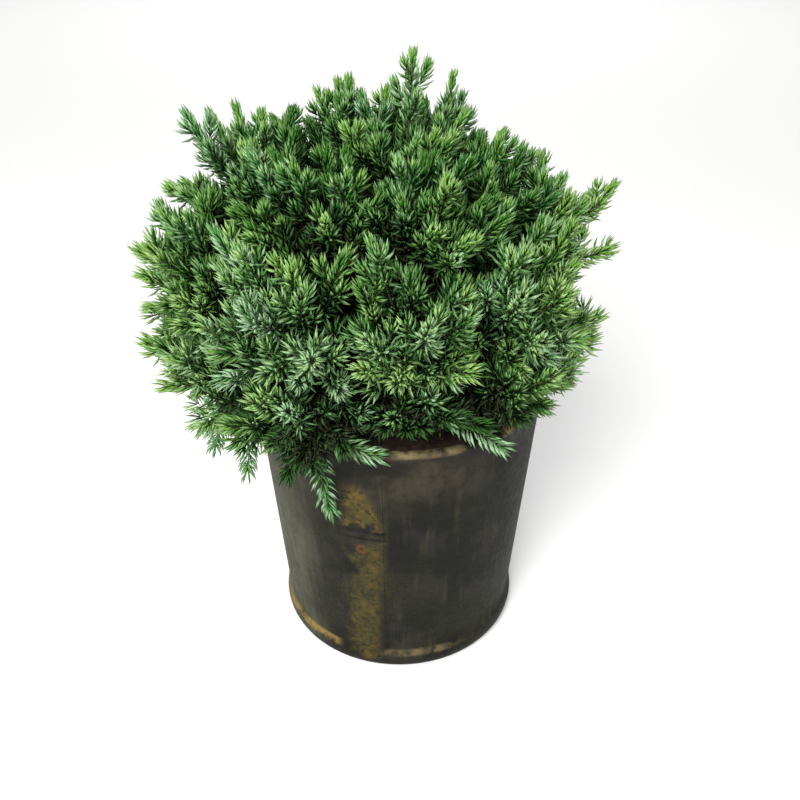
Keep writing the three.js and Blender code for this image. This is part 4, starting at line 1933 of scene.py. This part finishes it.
@dataclass
class Soil:
    """The potting mix: a lumpy mound with chips of bark on it."""

    vessel: Vessel
    gap: float = 0.3 * MM
    rings: int = 22
    spin_steps: int = 72
    foot_inset: float = 1.8
    lump: float = 1.6 * MM
    lump_scale: float = 160
    lumps_from: float = 10 * MM
    chips: int = 260
    chip_size: float = 3.2 * MM
    chips_from: float = 13 * MM
    chips_edge: float = 4 * MM
    chip_turn: float = 6.28
    chip_tilt: float = 0.4
    chip_long: Pair = (0.5, 1.3)
    chip_wide: Pair = (0.4, 0.8)
    chip_high: float = 0.3
    chip_rough: float = 0.2
    seed: int = 7

    def top_at(self, out: float) -> float:
        """Gives the height of the soil's top.

        Args:
            out: The distance from the axis.

        Returns:
            The height there, without its lumps.
        """
        v = self.vessel
        edge = v.radius_at(v.height - v.soil_below_rim)
        return v.height - v.soil_below_rim + v.soil_mound * (1 - out / edge)

    def make(self) -> None:
        """Makes the soil and its chips."""
        v = self.vessel
        bottom = v.floor + self.gap
        top = v.height - v.soil_below_rim
        edge = v.radius_at(top) - v.wall - self.gap
        foot = v.radius_at(bottom) - v.wall * self.foot_inset
        profile = [(0.0, bottom), (foot, bottom), (edge, top)]
        for i in range(1, self.rings):
            out = edge * (1 - i / self.rings)
            profile.append((out, self.top_at(out)))
        profile.append((0.0, self.top_at(0)))
        body = spun(profile, self.spin_steps)
        for vert in body.verts:
            out = math.hypot(vert.co.x, vert.co.y)
            if vert.co.z > top and out > self.lumps_from:
                vert.co.z += self.lump * noise.noise(vert.co * self.lump_scale)
        mesh = finished(body, "soil_top")
        finish = BarkFinish(
            "potting_mix", (0.022, 0.014, 0.009), (0.09, 0.055, 0.035),
            roughness=0.95, patch=220, grain=1200)
        mesh.materials.append(finish.make())
        mesh.shade_smooth()
        add_piece("soil_top", mesh, ["soil"])
        self.make_chips(edge)

    def make_chips(self, edge: float) -> None:
        """Scatters chips of bark on the soil.

        Args:
            edge: The soil's outer radius.
        """
        random = np.random.default_rng(self.seed)
        body = bmesh.new()
        for _ in range(self.chips):
            out = (edge - self.chips_edge) * math.sqrt(random.random())
            if out < self.chips_from:
                continue
            around = random.uniform(0, 2 * math.pi)
            at = Vector((math.cos(around) * out, math.sin(around) * out, self.top_at(out)))
            size = self.chip_size * random.uniform(*self.chip_long)
            turn = Matrix.Rotation(random.uniform(0, self.chip_turn), 4, "Z")
            turn = turn @ Matrix.Rotation(random.normal(0, self.chip_tilt), 4, "X")
            wide = size * random.uniform(*self.chip_wide)
            shape = Matrix.Diagonal((size, wide, size * self.chip_high, 1))
            made = bmesh.ops.create_icosphere(
                body, subdivisions=1, radius=0.6, matrix=Matrix.Translation(at) @ turn @ shape)
            for vert in made["verts"]:
                vert.co += (vert.co - at) * random.uniform(-self.chip_rough, self.chip_rough)
        mesh = finished(body, "bark_chips")
        mesh.materials.append(BarkFinish("chip_bark", (0.05, 0.028, 0.016), (0.16, 0.1, 0.06)).make())
        add_piece("bark_chips", mesh, [])


@dataclass(frozen=True)
class Lamp:
    """A soft light: its place round the plant, its distance, width and power, and what it faces."""

    name: str
    azimuth: float
    elevation: float
    away: float
    size: float
    power: float
    colour: Colour
    faces_down: bool = False


@dataclass
class Studio:
    """The photograph's view, soft light and a plain pale floor."""

    focal_pixels: float = 870
    frame_pixels: float = 800
    aside_pixels: float = 1.1
    pitch: float = 32
    distance: float = 512 * MM
    aim_height: float = 145.5 * MM
    sensor: float = 36
    clip: Pair = (0.01, 50)
    lamps: tuple[Lamp, ...] = (
        Lamp("key", -20, 42, 1.5, 0.7, 26, (1.0, 0.99, 0.97)),
        Lamp("fill", 5, 24, 1.6, 1.2, 7, (0.97, 0.99, 1.0)),
        Lamp("wash", 180, 34, 3.4, 3.4, 40, (1.0, 1.0, 1.0), faces_down=True),
    )
    lamp_centre: float = 0.15
    sky: float = 0.54
    floor_sides: int = 96
    floor_radius: float = 12.0
    floor_colour: Colour = (0.93, 0.93, 0.925)

    def add_camera(self) -> None:
        """Sets the camera at the photograph's viewing angle."""
        data = bpy.data.cameras.new("photo_camera")
        data.sensor_fit = "HORIZONTAL"
        data.sensor_width = self.sensor
        data.lens = self.focal_pixels / self.frame_pixels * self.sensor
        data.shift_x = self.aside_pixels / self.frame_pixels
        data.clip_start, data.clip_end = self.clip
        camera = put_in_scene("photo_camera", data)
        back = towards(0, self.pitch) * self.distance
        camera.location = Vector(back) + Vector((0, 0, self.aim_height))
        camera.rotation_euler = (math.radians(90 - self.pitch), 0, 0)
        bpy.context.scene.camera = camera

    def add_light(self, lamp: Lamp) -> None:
        """Adds a soft light that faces the plant, or the floor under it.

        Args:
            lamp: Its place, size, power and colour.
        """
        data = bpy.data.lights.new(lamp.name, "AREA")
        data.shape, data.size, data.energy, data.color = "DISK", lamp.size, lamp.power, lamp.colour
        light = put_in_scene(lamp.name, data)
        back = Vector(towards(lamp.azimuth, lamp.elevation))
        light.location = back * lamp.away + Vector((0, 0, self.lamp_centre))
        if not lamp.faces_down:
            light.rotation_mode = "QUATERNION"
            light.rotation_quaternion = back.to_track_quat("Z", "Y")

    def make(self) -> None:
        """Makes the camera, the lights, the sky and the floor."""
        self.add_camera()
        for lamp in self.lamps:
            self.add_light(lamp)
        self.add_sky()
        self.add_floor()

    def add_sky(self) -> None:
        """Sets an even white sky, and a view that keeps colours as they are."""
        world = bpy.data.worlds.new("studio_sky")
        world.use_nodes = True
        sky = next(n for n in world.node_tree.nodes if n.type == "BACKGROUND")
        sky.inputs[0].default_value = (1.0, 1.0, 1.0, 1.0)
        sky.inputs[1].default_value = self.sky
        scene = bpy.context.scene
        scene.world = world
        scene.view_settings.view_transform = "Standard"

    def add_floor(self) -> None:
        """Lays a round floor under the pot."""
        body = bmesh.new()
        bmesh.ops.create_circle(body, cap_ends=True, segments=self.floor_sides, radius=self.floor_radius)
        mesh = finished(body, "floor")
        mesh.materials.append(Shader("floor_paper", self.floor_colour, 0.9).material)
        put_in_scene("floor", mesh)


def main() -> None:
    """Builds the plant, its pot and the studio, in order."""
    logging.basicConfig(level=logging.INFO, format="%(message)s")
    vessel = Vessel()
    crown = Crown(vessel)
    masses = crown.plan_masses()
    Pot(vessel).make()
    Soil(vessel).make()
    wood = Wood(crown)
    wood.make(masses)
    shoots = Shoots(crown)
    branching = Branching(crown, shoots)
    branching.grow(masses, wood.bough_lines(masses))
    branching.make()
    shoots.make([f"foliage_{mass.name}" for mass in masses])
    Studio().make()


if __name__ == "__main__":
    main()
